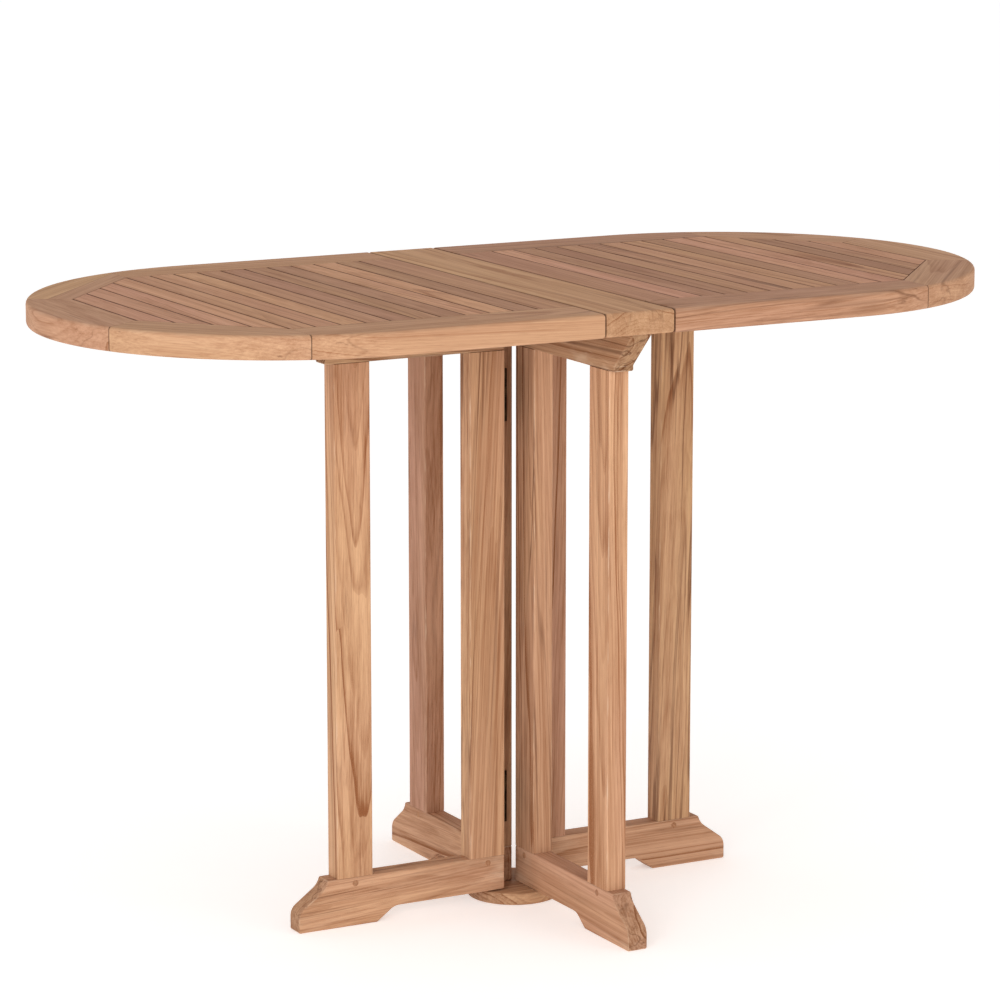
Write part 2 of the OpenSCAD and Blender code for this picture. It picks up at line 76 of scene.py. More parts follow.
@dataclass(frozen=True)
class Outline:
    """The closed edge of a board, seen square to its face.

    Attributes:
        points: Points around the edge, counter-clockwise.
        normals: Outward unit normals at the points.
        ease: Radius of the eased arris at each point.
        inset: How far the flat face's edge lies from each point.
        edge: Arris radius of the edge that each point belongs to.
        rounding: How far each point is round a corner, 0 on a straight and 1 in the middle.
    """

    points: np.ndarray
    normals: np.ndarray
    ease: np.ndarray
    inset: np.ndarray
    edge: np.ndarray
    rounding: np.ndarray

    # A smaller turn than this belongs to a curve.
    SMOOTH_TURN = np.radians(14)
    # Arris radii that differ by more than this meet in a flush joint.
    FLUSH_STEP = 1.5
    # Distance of a flush corner's two points from the corner.
    FLUSH_CHAMFER = 0.3
    # Width of the line of painted shade that a joint draws on an eased edge.
    JOINT_LINE = 1.0
    # A corner's radius is at least this share of the arris radius, and this much more.
    CORNER_SHARE = 1.1
    CORNER_MORE = 0.3

    @classmethod
    def from_corners(
        cls, corners: np.ndarray, ease: float | np.ndarray, radius: float | None = None, steps: int = 6
    ) -> "Outline":
        """Rounds the corners of a polygon.

        At a corner the normal turns evenly from one edge's to the next one's, and the point
        stands at the rounding's centre plus radius times that normal. The centre is the corner
        moved inward along the mitre, or outward where the corner is hollow. A corner that turns
        by only a few degrees belongs to a curve, and stays one point with the mean normal.
        Where a small arris meets a large one, the corner is a flush joint instead.

        Args:
            corners: Polygon corners, counter-clockwise.
            ease: Arris radius of each edge, or one for all; edge i leaves corner i.
            radius: Corner radius; by default a little more than the arris there.
            steps: Parts of a rounded corner, an even number.

        Returns:
            The outline.
        """
        corners = np.asarray(corners, float)
        ease = np.broadcast_to(np.asarray(ease, float), len(corners))
        leave = np.roll(corners, -1, axis=0) - corners
        leave = leave / np.linalg.norm(leave, axis=1, keepdims=True)
        arrive = np.roll(leave, 1, axis=0)
        before = np.stack([arrive[:, 1], -arrive[:, 0]], axis=1)
        after = np.stack([leave[:, 1], -leave[:, 0]], axis=1)
        cross = arrive[:, 0] * leave[:, 1] - arrive[:, 1] * leave[:, 0]
        dot = (before * after).sum(axis=1)
        turn = np.arctan2(cross, dot)
        mitre = (before + after) / (1 + dot)[:, None]
        share = np.linspace(0, 1, steps + 1)
        angle = turn[:, None] * share
        normals = np.stack(
            [
                before[:, :1] * np.cos(angle) - before[:, 1:] * np.sin(angle),
                before[:, :1] * np.sin(angle) + before[:, 1:] * np.cos(angle),
            ],
            axis=2,
        )
        first = np.roll(ease, 1)
        arris = first[:, None] * (1 - share) + ease[:, None] * share
        smooth = np.abs(turn) < cls.SMOOTH_TURN
        least = cls.CORNER_SHARE * arris.max(axis=1) + cls.CORNER_MORE
        reach = np.where(smooth, 0.0, least if radius is None else np.maximum(radius, least))
        reach = (reach * np.sign(turn))[:, None]
        points = (corners - reach * mitre)[:, None, :] + reach[:, :, None] * normals
        inset = arris[:, :, None] * normals
        bend = np.where(smooth[:, None], 0.0, 4 * share * (1 - share)[None, :])
        keep = ~smooth[:, None] | (np.arange(steps + 1) == steps // 2)
        flush = ~smooth & (np.abs(first - ease) > cls.FLUSH_STEP)
        columns = (points, normals, arris, inset, arris.copy(), bend)
        for i in np.flatnonzero(flush):
            four = cls.flush_corner(corners[i], arrive[i], leave[i], before[i], after[i], first[i], ease[i])
            for column, values in zip(columns, four):
                column[i, : len(values)] = values
            keep[i] = np.arange(steps + 1) < len(four[0])
        return cls(*(column[keep] for column in columns))

    @classmethod
    def flush_corner(
        cls,
        corner: np.ndarray,
        arrive: np.ndarray,
        leave: np.ndarray,
        before: np.ndarray,
        after: np.ndarray,
        first: float,
        second: float,
    ) -> tuple[np.ndarray, ...]:
        """Four points at a corner where a sawn joint cuts off an eased edge.

        The corner's own two points, a hair apart, keep the larger arris and move inward along
        both edges at once: the inset is the vector whose parts along the two normals are the
        two arris radii. Another stands a joint line's width away on the eased edge, and the
        last on the sawn edge just past the larger arris.

        Args:
            corner: The polygon's corner.
            arrive: Direction of the edge before it.
            leave: Direction of the edge after it.
            before: Outward normal of the edge before it.
            after: Outward normal of the edge after it.
            first: Arris radius of the edge before it.
            second: Arris radius of the edge after it.

        Returns:
            Points, normals, arris radii, insets, edge radii and roundings.
        """
        inset = np.linalg.solve(np.array([before, after]), np.array([first, second]))
        high = max(first, second)
        past = cls.CORNER_SHARE * high + cls.CORNER_MORE
        past = past / np.abs(before[0] * after[1] - before[1] * after[0])
        near, far = corner - cls.FLUSH_CHAMFER * arrive, corner + cls.FLUSH_CHAMFER * leave
        if first > second:
            points = [corner - cls.JOINT_LINE * arrive, near, far, corner + past * leave]
            normals, edge = [before, before, after, after], [first, second, second, second]
            radii, insets = [high, high, high, second], [inset, inset, inset, second * after]
        else:
            points = [corner - past * arrive, near, far, corner + cls.JOINT_LINE * leave]
            normals, edge = [before, before, after, after], [first, first, first, second]
            radii, insets = [first, high, high, high], [first * before, inset, inset, inset]
        columns = (points, normals, radii, insets, edge, [0.0] * 4)
        return tuple(np.array(column, float) for column in columns)


@dataclass(frozen=True)
class Surface:
    """A closed grid of points: rings along its first axis, points round each ring on its second.

    Attributes:
        points: Points in the surface's own axes.
        normals: Unit normals at the points.
        arris: How much each point wears, from 0 on a face to 1 on an eased edge.
        gap_shade: Painted shade: how far each point lies in a tight gap beside a neighbour, or on a joint
            line across an eased edge, from 0 to 1.
    """

    points: np.ndarray
    normals: np.ndarray
    arris: np.ndarray
    gap_shade: np.ndarray


# Arrises up to the first radius don't wear, and wear grows over the second; past the third radius
# it fades again.
UNWORN, WEAR_GROWTH, WEAR_PEAK = 0.5, 1.5, 2.0
# Painted shade: a joint that crosses an eased edge is painted this dark, up to this sine of the way round
# the arris.
CROSSING_DARK, CROSSING_END = 0.85, 0.99
# An edge with a smaller arris than this is a sawn joint.
SAWN_ARRIS = 1.0
# Painted shade: a gap's wall is painted dark where this much of its slope, less the second number, is above
# 0.
WALL_RISE, WALL_DROP = 1.7, 0.6


def eased_slab(outline: Outline, low: float, high: float, steps: int = 5, tight: float = 0.0) -> Surface:
    """Carries a quarter-round, a straight wall and a second quarter-round along an outline.

    With phi from -90 to 90 degrees, a point lies at the outline less the inset times
    (1 - cos phi), and at the arris centre's height plus ease times sin phi. The arris centre
    is one ease above low while phi is negative and one ease below high after that.

    Args:
        outline: Edge of the slab.
        low: Height of its lower face.
        high: Height of its upper face.
        steps: Parts of each quarter-round.
        tight: Edges with an arris smaller than this stand against a neighbour.

    Returns:
        The surface, whose first and last rings bound the flat faces.
    """
    quarter = np.linspace(0, np.pi / 2, steps + 1)
    phi = np.concatenate([quarter - np.pi / 2, quarter])[:, None]
    upper = np.arange(len(phi))[:, None] > steps
    centre = np.where(upper, high - outline.ease, low + outline.ease)
    height = centre + outline.ease * np.sin(phi)
    flat = outline.points - (1 - np.cos(phi))[:, :, None] * outline.inset
    points = np.concatenate([flat, height[:, :, None]], axis=2)
    side = outline.normals * np.cos(phi)[:, :, None]
    rise = np.broadcast_to(np.sin(phi)[:, :, None], height.shape + (1,))
    shut = outline.edge < tight
    bare = np.clip((outline.ease - UNWORN) / WEAR_GROWTH, 0, 1) * np.minimum(1.0, WEAR_PEAK / outline.ease)
    worn = np.where(shut, 0.0, np.maximum(np.abs(np.sin(2 * phi)) * bare, outline.rounding))
    # Painted shade: the walls of tight gaps and the joint lines across eased edges get a share of darkness,
    # for the shade that falls in them.
    inner = np.abs(np.sin(phi)) < CROSSING_END
    crossing = np.where((outline.edge < SAWN_ARRIS) & inner, CROSSING_DARK, 0.0)
    wall = np.clip(WALL_RISE * np.cos(phi) - WALL_DROP, 0, 1)
    line = np.where(outline.ease > outline.edge + Outline.FLUSH_STEP, crossing, wall)
    gap_shade = np.where(shut, line, 0.0)
    return Surface(points, np.concatenate([side, rise], axis=2), worn, gap_shade)


def turned_surface(profile: np.ndarray, count: int) -> Surface:
    """Turns a profile round the third axis.

    A point lies at the profile's radius times the cosine and sine of the turn, at the profile's
    height. The normal is the profile's own, a quarter turn from its direction.

    Args:
        profile: Rows of radius and height, from the lower face to the upper one.
        count: Points round each ring.

    Returns:
        The surface.
    """
    turn = np.linspace(0, 2 * np.pi, count, endpoint=False)
    ring = np.stack([np.cos(turn), np.sin(turn)], axis=1)
    slope = np.gradient(profile, axis=0)
    slope = slope / np.linalg.norm(slope, axis=1, keepdims=True)
    flat = profile[:, 0][:, None, None] * ring
    height = np.broadcast_to(profile[:, 1][:, None, None], flat.shape[:2] + (1,))
    out = slope[:, 1][:, None, None] * ring
    rise = np.broadcast_to(-slope[:, 0][:, None, None], height.shape)
    plain = np.zeros(flat.shape[:2])
    points, normals = np.concatenate([flat, height], axis=2), np.concatenate([out, rise], axis=2)
    return Surface(points, normals, plain, plain)


def round_profile(radius: float, low: float, high: float, ease: float, steps: int = 6) -> np.ndarray:
    """Profile of a disc: a quarter-round, a wall and a quarter-round.

    With t from 0 to 90 degrees, the lower round lies at radius less ease times (1 - sin t), and
    height low plus ease times (1 - cos t). The upper round swaps sine and cosine.

    Args:
        radius: Radius of the disc.
        low: Height of its lower face.
        high: Height of its upper face.
        ease: Radius of both rounds.
        steps: Parts of each round.

    Returns:
        Rows of radius and height.
    """
    quarter = np.linspace(0, np.pi / 2, steps + 1)
    flat = radius - ease
    lower = np.stack([flat + ease * np.sin(quarter), low + ease - ease * np.cos(quarter)], axis=1)
    upper = np.stack([flat + ease * np.cos(quarter), high - ease + ease * np.sin(quarter)], axis=1)
    return np.concatenate([lower, upper])


# ---- Timber ----


class Sawn(Enum):
    """How a board was sawn: where the pith lies from its middle, across and through, in mm."""

    FLAT = (6.0, 62.0)
    RIFT = (44.0, 46.0)
    QUARTER = (78.0, 8.0)
    HEART = (9.0, 20.0)


@dataclass(frozen=True)
class Grain:
    """The log that a board was cut from, as a frame for its growth rings.

    Attributes:
        middle: Middle of the board, in mm.
        along: Unit direction of the grain.
        across: Unit direction across the board's width.
        pith: Offset of the pith, across and through the board, in mm.
        slope: Drift of the pith across and through, for each mm along.
        tone: Lightness from -1 to 1.
        streaks: Share of dark heartwood streaks, from 0 to 1.
        seed: Number that sets this board's own pattern.
        rosy: Share of the pinkish tint, from 0 to 1.
    """

    middle: np.ndarray
    along: np.ndarray
    across: np.ndarray
    pith: tuple[float, float]
    slope: tuple[float, float]
    tone: float
    streaks: float
    seed: float
    rosy: float

    def coordinates(self, points: np.ndarray) -> np.ndarray:
        """Places points in the log.

        The first coordinate is the distance along the grain. The others are the distances from
        the pith across and through the board, each with its slope times the first one added.

        Args:
            points: Points in mm, one a row.

        Returns:
            Coordinates in metres, one row a point.
        """
        through = np.cross(self.along, self.across)
        away = points - self.middle
        run = away @ self.along
        across = away @ self.across + self.pith[0] + self.slope[0] * run
        depth = away @ through + self.pith[1] + self.slope[1] * run
        return np.stack([run, across, depth], axis=1) * MM


@dataclass(frozen=True)
class Cut:
    """How one board is to be cut.

    Attributes:
        along: Direction of the grain.
        across: Direction across the width.
        sawn: How the board is sawn.
        tone: Mean lightness.
        streaks: Share of dark streaks.
        tone_spread: How far the lightness may differ from the mean.
        rosy: Share of the pinkish tint, or None to draw one.
    """

    along: np.ndarray
    across: np.ndarray
    sawn: Sawn
    tone: float = 0.0
    streaks: float = 0.15
    tone_spread: float = 0.25
    rosy: float | None = None


class Sawmill:
    """Cuts boards that all differ, the same way on every run."""

    # Most that the pith drifts, and the least and most of its distance.
    DRIFT = 0.05
    PITH_SPREAD = (0.8, 1.25)
    # Most that a drawn pinkish tint reaches.
    MOST_ROSY = 0.9

    def __init__(self, seed: int) -> None:
        """Starts the sequence of boards from a seed."""
        self.dice = np.random.default_rng(seed)

    def grain(self, points: np.ndarray, cut: Cut) -> Grain:
        """Picks the log for one board.

        Args:
            points: The board's points in mm, one a row.
            cut: How the board is to be cut.

        Returns:
            The board's grain.
        """
        flip = self.dice.choice([-1.0, 1.0], 2)
        drift = self.dice.uniform(-self.DRIFT, self.DRIFT, 2)
        vary = self.dice.uniform(*self.PITH_SPREAD, 2)
        tint = float(self.dice.uniform(0, self.MOST_ROSY))
        pith = cut.sawn.value
        return Grain(
            middle=points.mean(axis=0),
            along=np.asarray(cut.along, float) / np.linalg.norm(cut.along),
            across=np.asarray(cut.across, float) / np.linalg.norm(cut.across),
            pith=(pith[0] * flip[0] * vary[0], pith[1] * flip[1] * vary[1]),
            slope=(float(drift[0]), float(drift[1])),
            tone=float(cut.tone + self.dice.uniform(-cut.tone_spread, cut.tone_spread)),
            streaks=cut.streaks,
            seed=float(self.dice.uniform(0, 1)),
            rosy=tint if cut.rosy is None else cut.rosy,
        )


@dataclass(frozen=True)
class Placement:
    """Puts a slab's own axes into the table's frame: place = origin + points @ axes."""

    origin: np.ndarray
    axes: np.ndarray

    def put(self, points: np.ndarray) -> np.ndarray:
        """Places points."""
        return points @ self.axes + self.origin

    def aim(self, directions: np.ndarray) -> np.ndarray:
        """Turns directions."""
        return directions @ self.axes

    @property
    def mirrored(self) -> bool:
        """Whether the placement swaps left and right, so that faces must be turned over."""
        return bool(np.linalg.det(self.axes) < 0)


@dataclass
class Timber:
    """One wooden object: the boards that stand for one CAD node.

    Attributes:
        node: CAD node that it replaces.
        body: Body that it rides on.
        finish: Its finish.
        points, normals: Rows of each board, in metres.
        faces: Corner numbers of every face.
        grain, board, wear, rosy: Rows of the attributes that the finish reads; the wear rows hold the worn
            arrises, the end grain and the painted shade in gaps and on joint lines.
        count: Number of points so far.
    """

    node: str
    body: str
    finish: "Teak"
    points: list[np.ndarray] = field(default_factory=list)
    normals: list[np.ndarray] = field(default_factory=list)
    faces: list[list[int]] = field(default_factory=list)
    grain: list[np.ndarray] = field(default_factory=list)
    board: list[np.ndarray] = field(default_factory=list)
    wear_and_shade: list[np.ndarray] = field(default_factory=list)
    rosy: list[np.ndarray] = field(default_factory=list)
    count: int = 0

    def add(self, surface: Surface, place: Placement, mill: Sawmill, cut: Cut) -> "Timber":
        """Adds one board: the grid's quads, and a flat face in its first and last rings.

        Args:
            surface: The board's surface in its own axes.
            place: Where it goes.
            mill: Sawmill that cuts it.
            cut: How it is to be cut.

        Returns:
            This timber.
        """
        rings, around = surface.points.shape[:2]
        points = place.put(surface.points.reshape(-1, 3))
        grain = mill.grain(points, cut)
        normals = place.aim(surface.normals.reshape(-1, 3))
        index = np.arange(rings * around).reshape(rings, around)
        ahead = np.roll(index, -1, axis=1)
        quads = np.stack([index[:-1], ahead[:-1], ahead[1:], index[1:]], axis=2).reshape(-1, 4)
        faces = (quads + self.count).tolist()
        faces.append((index[0][::-1] + self.count).tolist())
        faces.append((index[-1] + self.count).tolist())
        if place.mirrored:
            faces = [face[::-1] for face in faces]
        end = np.abs(normals @ grain.along) ** 2
        self.points.append(points * MM)
        self.normals.append(normals)
        self.faces.extend(faces)
        self.grain.append(grain.coordinates(points))
        self.board.append(np.tile([grain.tone, grain.streaks, grain.seed], (len(points), 1)))
        # Third row: painted shade in tight gaps and on joint lines, beside the worn arrises and the end
        # grain.
        self.wear_and_shade.append(np.stack([surface.arris.reshape(-1), end, surface.gap_shade.reshape(-1)], axis=1))
        self.rosy.append(np.full(len(points), grain.rosy))
        self.count += len(points)
        return self

    def finished(self) -> None:
        """Makes the mesh at the origin, dresses it and ties it to its node and body."""
        mesh = bpy.data.meshes.new(f"teak_{self.node}")
        mesh.from_pydata(np.concatenate(self.points), [], self.faces)
        mesh.shade_smooth()
        mesh.normals_split_custom_set_from_vertices(np.concatenate(self.normals))
        for name, rows in (("grain", self.grain), ("board", self.board), ("wear_and_shade", self.wear_and_shade)):
            layer = mesh.attributes.new(name, "FLOAT_VECTOR", "POINT")
            layer.data.foreach_set("vector", np.concatenate(rows).astype(np.float32).ravel())
        layer = mesh.attributes.new("rosy", "FLOAT", "POINT")
        layer.data.foreach_set("value", np.concatenate(self.rosy).astype(np.float32))
        mesh.materials.append(self.finish.material())
        mesh.update()
        piece = bpy.data.objects.new(f"teak_{self.node}", mesh)
        bpy.context.scene.collection.objects.link(piece)
        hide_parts(self.node)
        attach(piece, self.body)
        LOG.info("%s: %d points, rides on %s", piece.name, self.count, self.body)


# ---- Finishes ----


class Figure(Enum):
    """Noises: scale per metre on three axes, detail and roughness.

    On wood the axes run along, across and through the board.
    """

    WANDER = ((1.7, 14.0, 14.0), 3.0, 0.45)
    UNEVEN = ((90.0, 40.0, 1.0), 1.0, 0.5)
    FADE = ((1.1, 24.0, 24.0), 2.0, 0.5)
    FIBRE = ((3.0, 600.0, 600.0), 4.0, 0.62)
    BAND = ((0.8, 105.0, 105.0), 4.0, 0.6)
    PORE = ((42.0, 1500.0, 1500.0), 1.0, 0.5)
    PATCH = ((2.2, 13.0, 13.0), 2.0, 0.5)
    STREAK = ((1.0, 170.0, 120.0), 3.0, 0.6)
    VEIN = ((0.7, 38.0, 30.0), 2.0, 0.5)
    BREAK = ((3.0, 25.0, 25.0), 2.0, 0.5)
    WORN = ((24.0, 70.0, 70.0), 3.0, 0.5)
    CLOUD = ((90.0, 90.0, 60.0), 4.0, 0.6)
    SPECK = ((900.0, 900.0, 900.0), 2.0, 0.5)
    BRUSH = ((2500.0, 2500.0, 60.0), 2.0, 0.5)


class Curve(Enum):
    """Curves of straight parts, as pairs of place and height."""

    RING = ((0.0, 0.0), (0.2, 0.05), (0.6, 0.3), (0.9, 1.0), (1.0, 0.5))
    FADE = ((0.35, 0.35), (0.66, 1.0))
    KNOT = ((0.72, 0.0), (0.95, 1.0))
    PORE = ((0.60, 0.0), (0.72, 1.0))
    PATCH = ((0.38, 0.0), (0.62, 1.0))
    BREAK = ((0.40, 0.0), (0.60, 1.0))
    WORN = ((0.48, 0.04), (0.72, 0.65))
    FILM = ((0.45, 0.4), (0.72, 1.0))


class Graph:
    """Builds a material's nodes with short calls; a value is a socket or a number."""

    def __init__(self, name: str) -> None:
        """Starts an empty material with a Principled surface.

        Args:
            name: Name of the material.
        """
        self.material = bpy.data.materials.new(name)
        self.material.use_nodes = True
        self.tree = self.material.node_tree
        self.tree.nodes.clear()
        self.surface = self.node("ShaderNodeBsdfPrincipled")
        output = self.node("ShaderNodeOutputMaterial")
        self.tree.links.new(self.surface.outputs[0], output.inputs[0])

    def node(self, kind: str, *values: object, **settings: object) -> bpy.types.Node:
        """Adds a node.

        Args:
            kind: Blender's name of the node type.
            values: Values of its first inputs, in order.
            settings: Its properties.

        Returns:
            The node.
        """
        made = self.tree.nodes.new(kind)
        for name, value in settings.items():
            setattr(made, name, value)
        for socket, value in zip(made.inputs, values):
            self.feed(socket, value)
        return made

    def feed(self, socket: bpy.types.NodeSocket, value: object) -> None:
        """Links a socket to another, or sets its value.

        Args:
            socket: The input.
            value: The other socket, or the value.
        """
        if isinstance(value, bpy.types.NodeSocket):
            self.tree.links.new(value, socket)
        else:
            socket.default_value = value

    def settle(self, **values: object) -> None:
        """Feeds the surface's inputs, which are named with _ for a space.

        Args:
            values: Value of each input.
        """
        for name, value in values.items():
            self.feed(self.surface.inputs[name.replace("_", " ")], value)

    def math(self, operation: str, *values: object, clamp: bool = False) -> bpy.types.NodeSocket:
        """Adds a Math node and returns its result."""
        return self.node("ShaderNodeMath", *values, operation=operation, use_clamp=clamp).outputs[0]

    def plus(self, *values: object, clamp: bool = False) -> bpy.types.NodeSocket:
        """Adds two values."""
        return self.math("ADD", *values, clamp=clamp)

    def minus(self, *values: object, clamp: bool = False) -> bpy.types.NodeSocket:
        """Takes the second value from the first."""
        return self.math("SUBTRACT", *values, clamp=clamp)

    def times(self, *values: object, clamp: bool = False) -> bpy.types.NodeSocket:
        """Multiplies two values."""
        return self.math("MULTIPLY", *values, clamp=clamp)

    def vector(self, operation: str, *values: object, output: str = "Vector") -> bpy.types.NodeSocket:
        """Adds a Vector Math node and returns its result."""
        return self.node("ShaderNodeVectorMath", *values, operation=operation).outputs[output]

    def scaled(self, value: object, scale: object) -> bpy.types.NodeSocket:
        """Scales a vector or colour by a number.

        Args:
            value: The vector.
            scale: The number.

        Returns:
            The scaled vector.
        """
        made = self.node("ShaderNodeVectorMath", value, operation="SCALE")
        self.feed(made.inputs["Scale"], scale)
        return made.outputs[0]

    def attribute(self, name: str, output: str = "Vector") -> bpy.types.NodeSocket:
        """Reads an attribute as a vector, or as a number with output Fac."""
        return self.node("ShaderNodeAttribute", attribute_name=name).outputs[output]

    def split(self, value: bpy.types.NodeSocket) -> list[bpy.types.NodeSocket]:
        """Splits a vector into its three numbers."""
        return list(self.node("ShaderNodeSeparateXYZ", value).outputs)

    def join(self, *values: object) -> bpy.types.NodeSocket:
        """Joins three numbers into a vector."""
        return self.node("ShaderNodeCombineXYZ", *values).outputs[0]

    def noise(self, place: object, figure: Figure, output: str = "Fac") -> bpy.types.NodeSocket:
        """Adds noise.

        Args:
            place: Where it is read.
            figure: Its scale, detail and roughness.
            output: Fac for a number, or Color for three.

        Returns:
            The noise.
        """
        scale, detail, rough = figure.value
        made = self.node("ShaderNodeTexNoise")
        made.inputs["Scale"].default_value = 1.0
        made.inputs["Detail"].default_value = detail
        made.inputs["Roughness"].default_value = rough
        self.feed(made.inputs["Vector"], self.vector("MULTIPLY", place, scale))
        return made.outputs[output]

    def ramp(self, value: object, curve: Curve) -> bpy.types.NodeSocket:
        """Maps a number through a curve.

        Args:
            value: The number.
            curve: The curve.

        Returns:
            The curve's height there.
        """
        made = self.node("ShaderNodeValToRGB", value)
        band = made.color_ramp
        while len(band.elements) < len(curve.value):
            band.elements.new(1.0)
        for element, (place, height) in zip(band.elements, curve.value):
            element.position = place
            element.color = (height, height, height, 1.0)
        return made.outputs[0]

    def blend(self, share: object, first: object, second: object) -> bpy.types.NodeSocket:
        """Mixes two colours.

        Args:
            share: Share of the second one.
            first: A colour.
            second: Another colour.

        Returns:
            The mixed colour.
        """
        made = self.node("ShaderNodeMix", share, data_type="RGBA")
        for socket, value in ((made.inputs[6], first), (made.inputs[7], second)):
            self.feed(socket, (*value, 1.0) if isinstance(value, tuple) else value)
        return made.outputs[2]

    def bump(self, height: object, depth: float) -> bpy.types.NodeSocket:
        """Makes relief.

        Args:
            height: Height, from about 0 to 1.
            depth: Its full depth in metres.

        Returns:
            The surface's normal.
        """
        made = self.node("ShaderNodeBump")
        made.inputs["Strength"].default_value = 1.0
        made.inputs["Distance"].default_value = depth
        self.feed(made.inputs["Height"], height)
        return made.outputs[0]


@dataclass(frozen=True)
class Teak:
    """Oiled teak, drawn from its place in the log.

    Attributes:
        name: Name of the material.
        slot: The record's material slot; not used.
        light: Early wood.
        dark: Late wood and fibres.
        rosy: Tint of the pinkish boards and patches.
        streak: Heartwood streaks.
        ring_mm: Width of a growth ring.
        ring_contrast: Strength of the rings.
        band_contrast: Strength of the broad bands along the grain.
        fibre_contrast: Strength of the fine fibres.
        roughness: Mean roughness.
    """

    name: str
    slot: str
    light: Colour
    dark: Colour
    rosy: Colour
    streak: Colour = (0.130, 0.050, 0.024)
    ring_mm: float = 4.4
    ring_contrast: float = 0.6
    band_contrast: float = 1.35
    fibre_contrast: float = 1.25
    roughness: float = 0.66

    # How far the noise moves a ring's place, in metres.
    RING_WANDER = 0.03
    # Scale of the knots' cells, the share of cells without one, a knot's reach and its bump in rings.
    KNOT_SCALE, NO_KNOT, KNOT_REACH, KNOT_RINGS = (4.2, 20.0, 20.0), 0.90, 0.2, 2.6
    # How unevenly rings are spaced, in rings.
    RING_UNEVEN = 2.0
    # Seeds of boards lie this many rings, or metres, apart.
    RING_SEEDS, PLACE_SEEDS = 97.0, 7.0
    # Least strength of a ring, what its own number adds, and the power that makes strong ones rare.
    RING_LEAST, RING_OWN, RING_RARE = 0.3, 1.5, 5.0
    # Streaks: the noise's height without and with their full share, and their sharpness.
    STREAK_HEIGHT, STREAK_SPAN, STREAK_SHARP = 0.70, 0.17, 10.0
    # Veins: narrowness, their least strength, and what the board's streaks add.
    VEIN_NARROW, VEIN_LEAST, VEIN_OWN = 48.0, 0.25, 1.3
    # Darkness of plain wood, and its lowest and highest values.
    BASE_SHADE, LEAST_SHADE, MOST_SHADE = 0.22, -0.25, 1.15
    # Shares of the pores, streaks, veins and knots.
    PORE_SHARE, STREAK_SHARE, VEIN_SHARE, KNOT_SHARE = 0.14, 0.62, 0.66, 0.75
    # Shares of the patches and of the board itself in the pinkish tint.
    PATCH_ROSY, BOARD_ROSY = 0.3, 0.7
    # What tone, end grain and the painted shade in gaps and on joint lines do to the lightness.
    TONE_LIGHT, END_DARK, GROOVE_DARK = 0.30, 0.2, 0.72
    WORN_COLOUR = (0.74, 0.55, 0.40)
    # How fast wear falls off from an arris.
    WORN_POWER = 2.0
    # What fibres and end grain add to the roughness.
    FIBRE_ROUGH, END_ROUGH = 0.16, 0.12
    GLOSS = 0.07
    # Relief: shares of the fibres and the rings, and the depth in metres.
    FIBRE_RELIEF, RING_RELIEF, RELIEF_DEPTH = 0.6, 0.4, 0.00014

    def rings(self, g: Graph, place: object, grain: object, seed: object) -> tuple[object, object]:
        """Makes the growth rings and the knots that bend them.

        A ring is a band of the distance from the pith, in ring widths. Low noise makes it
        wander, and a knot adds a bell-shaped bump. Each ring darkens slowly, then stops short,
        and has a strength of its own.

        Args:
            g: The material's nodes.
            place: Place in the log, moved by the board's seed.
            grain: Place in the log.
            seed: The board's seed.

        Returns:
            Darkness of the rings and of the knots.
        """
        wander = g.vector("SUBTRACT", g.noise(place, Figure.WANDER, "Color"), (0.5, 0.5, 0.5))
        wander = g.vector("MULTIPLY", wander, (0.0, self.RING_WANDER, self.RING_WANDER))
        _, across, through = g.split(g.vector("ADD", grain, wander))
        radius = g.vector("LENGTH", g.join(0.0, across, through), output="Value")
        knots = g.node("ShaderNodeTexVoronoi")
        knots.inputs["Scale"].default_value = 1.0
        g.feed(knots.inputs["Vector"], g.vector("MULTIPLY", place, self.KNOT_SCALE))
        chosen = g.math("GREATER_THAN", g.split(knots.outputs["Color"])[0], self.NO_KNOT)
        away = g.math("DIVIDE", knots.outputs["Distance"], self.KNOT_REACH)
        bulge = g.times(g.math("EXPONENT", g.times(g.math("POWER", away, 2.0), -1.0)), chosen)
        uneven = g.times(g.noise(g.join(radius, seed, 0.0), Figure.UNEVEN), self.RING_UNEVEN)
        turns = g.plus(g.times(radius, 1.0 / MM / self.ring_mm), uneven)
        turns = g.plus(turns, g.times(bulge, self.KNOT_RINGS))
        ring = g.ramp(g.math("FRACT", turns), Curve.RING)
        own = g.node("ShaderNodeTexWhiteNoise", noise_dimensions="1D")
        g.feed(own.inputs["W"], g.plus(g.math("FLOOR", turns), g.times(seed, self.RING_SEEDS)))
        rare = g.math("POWER", own.outputs["Value"], self.RING_RARE)
        strength = g.plus(self.RING_LEAST, g.times(rare, self.RING_OWN))
        fade = g.ramp(g.noise(place, Figure.FADE), Curve.FADE)
        return g.times(g.times(ring, strength), fade), g.ramp(bulge, Curve.KNOT)

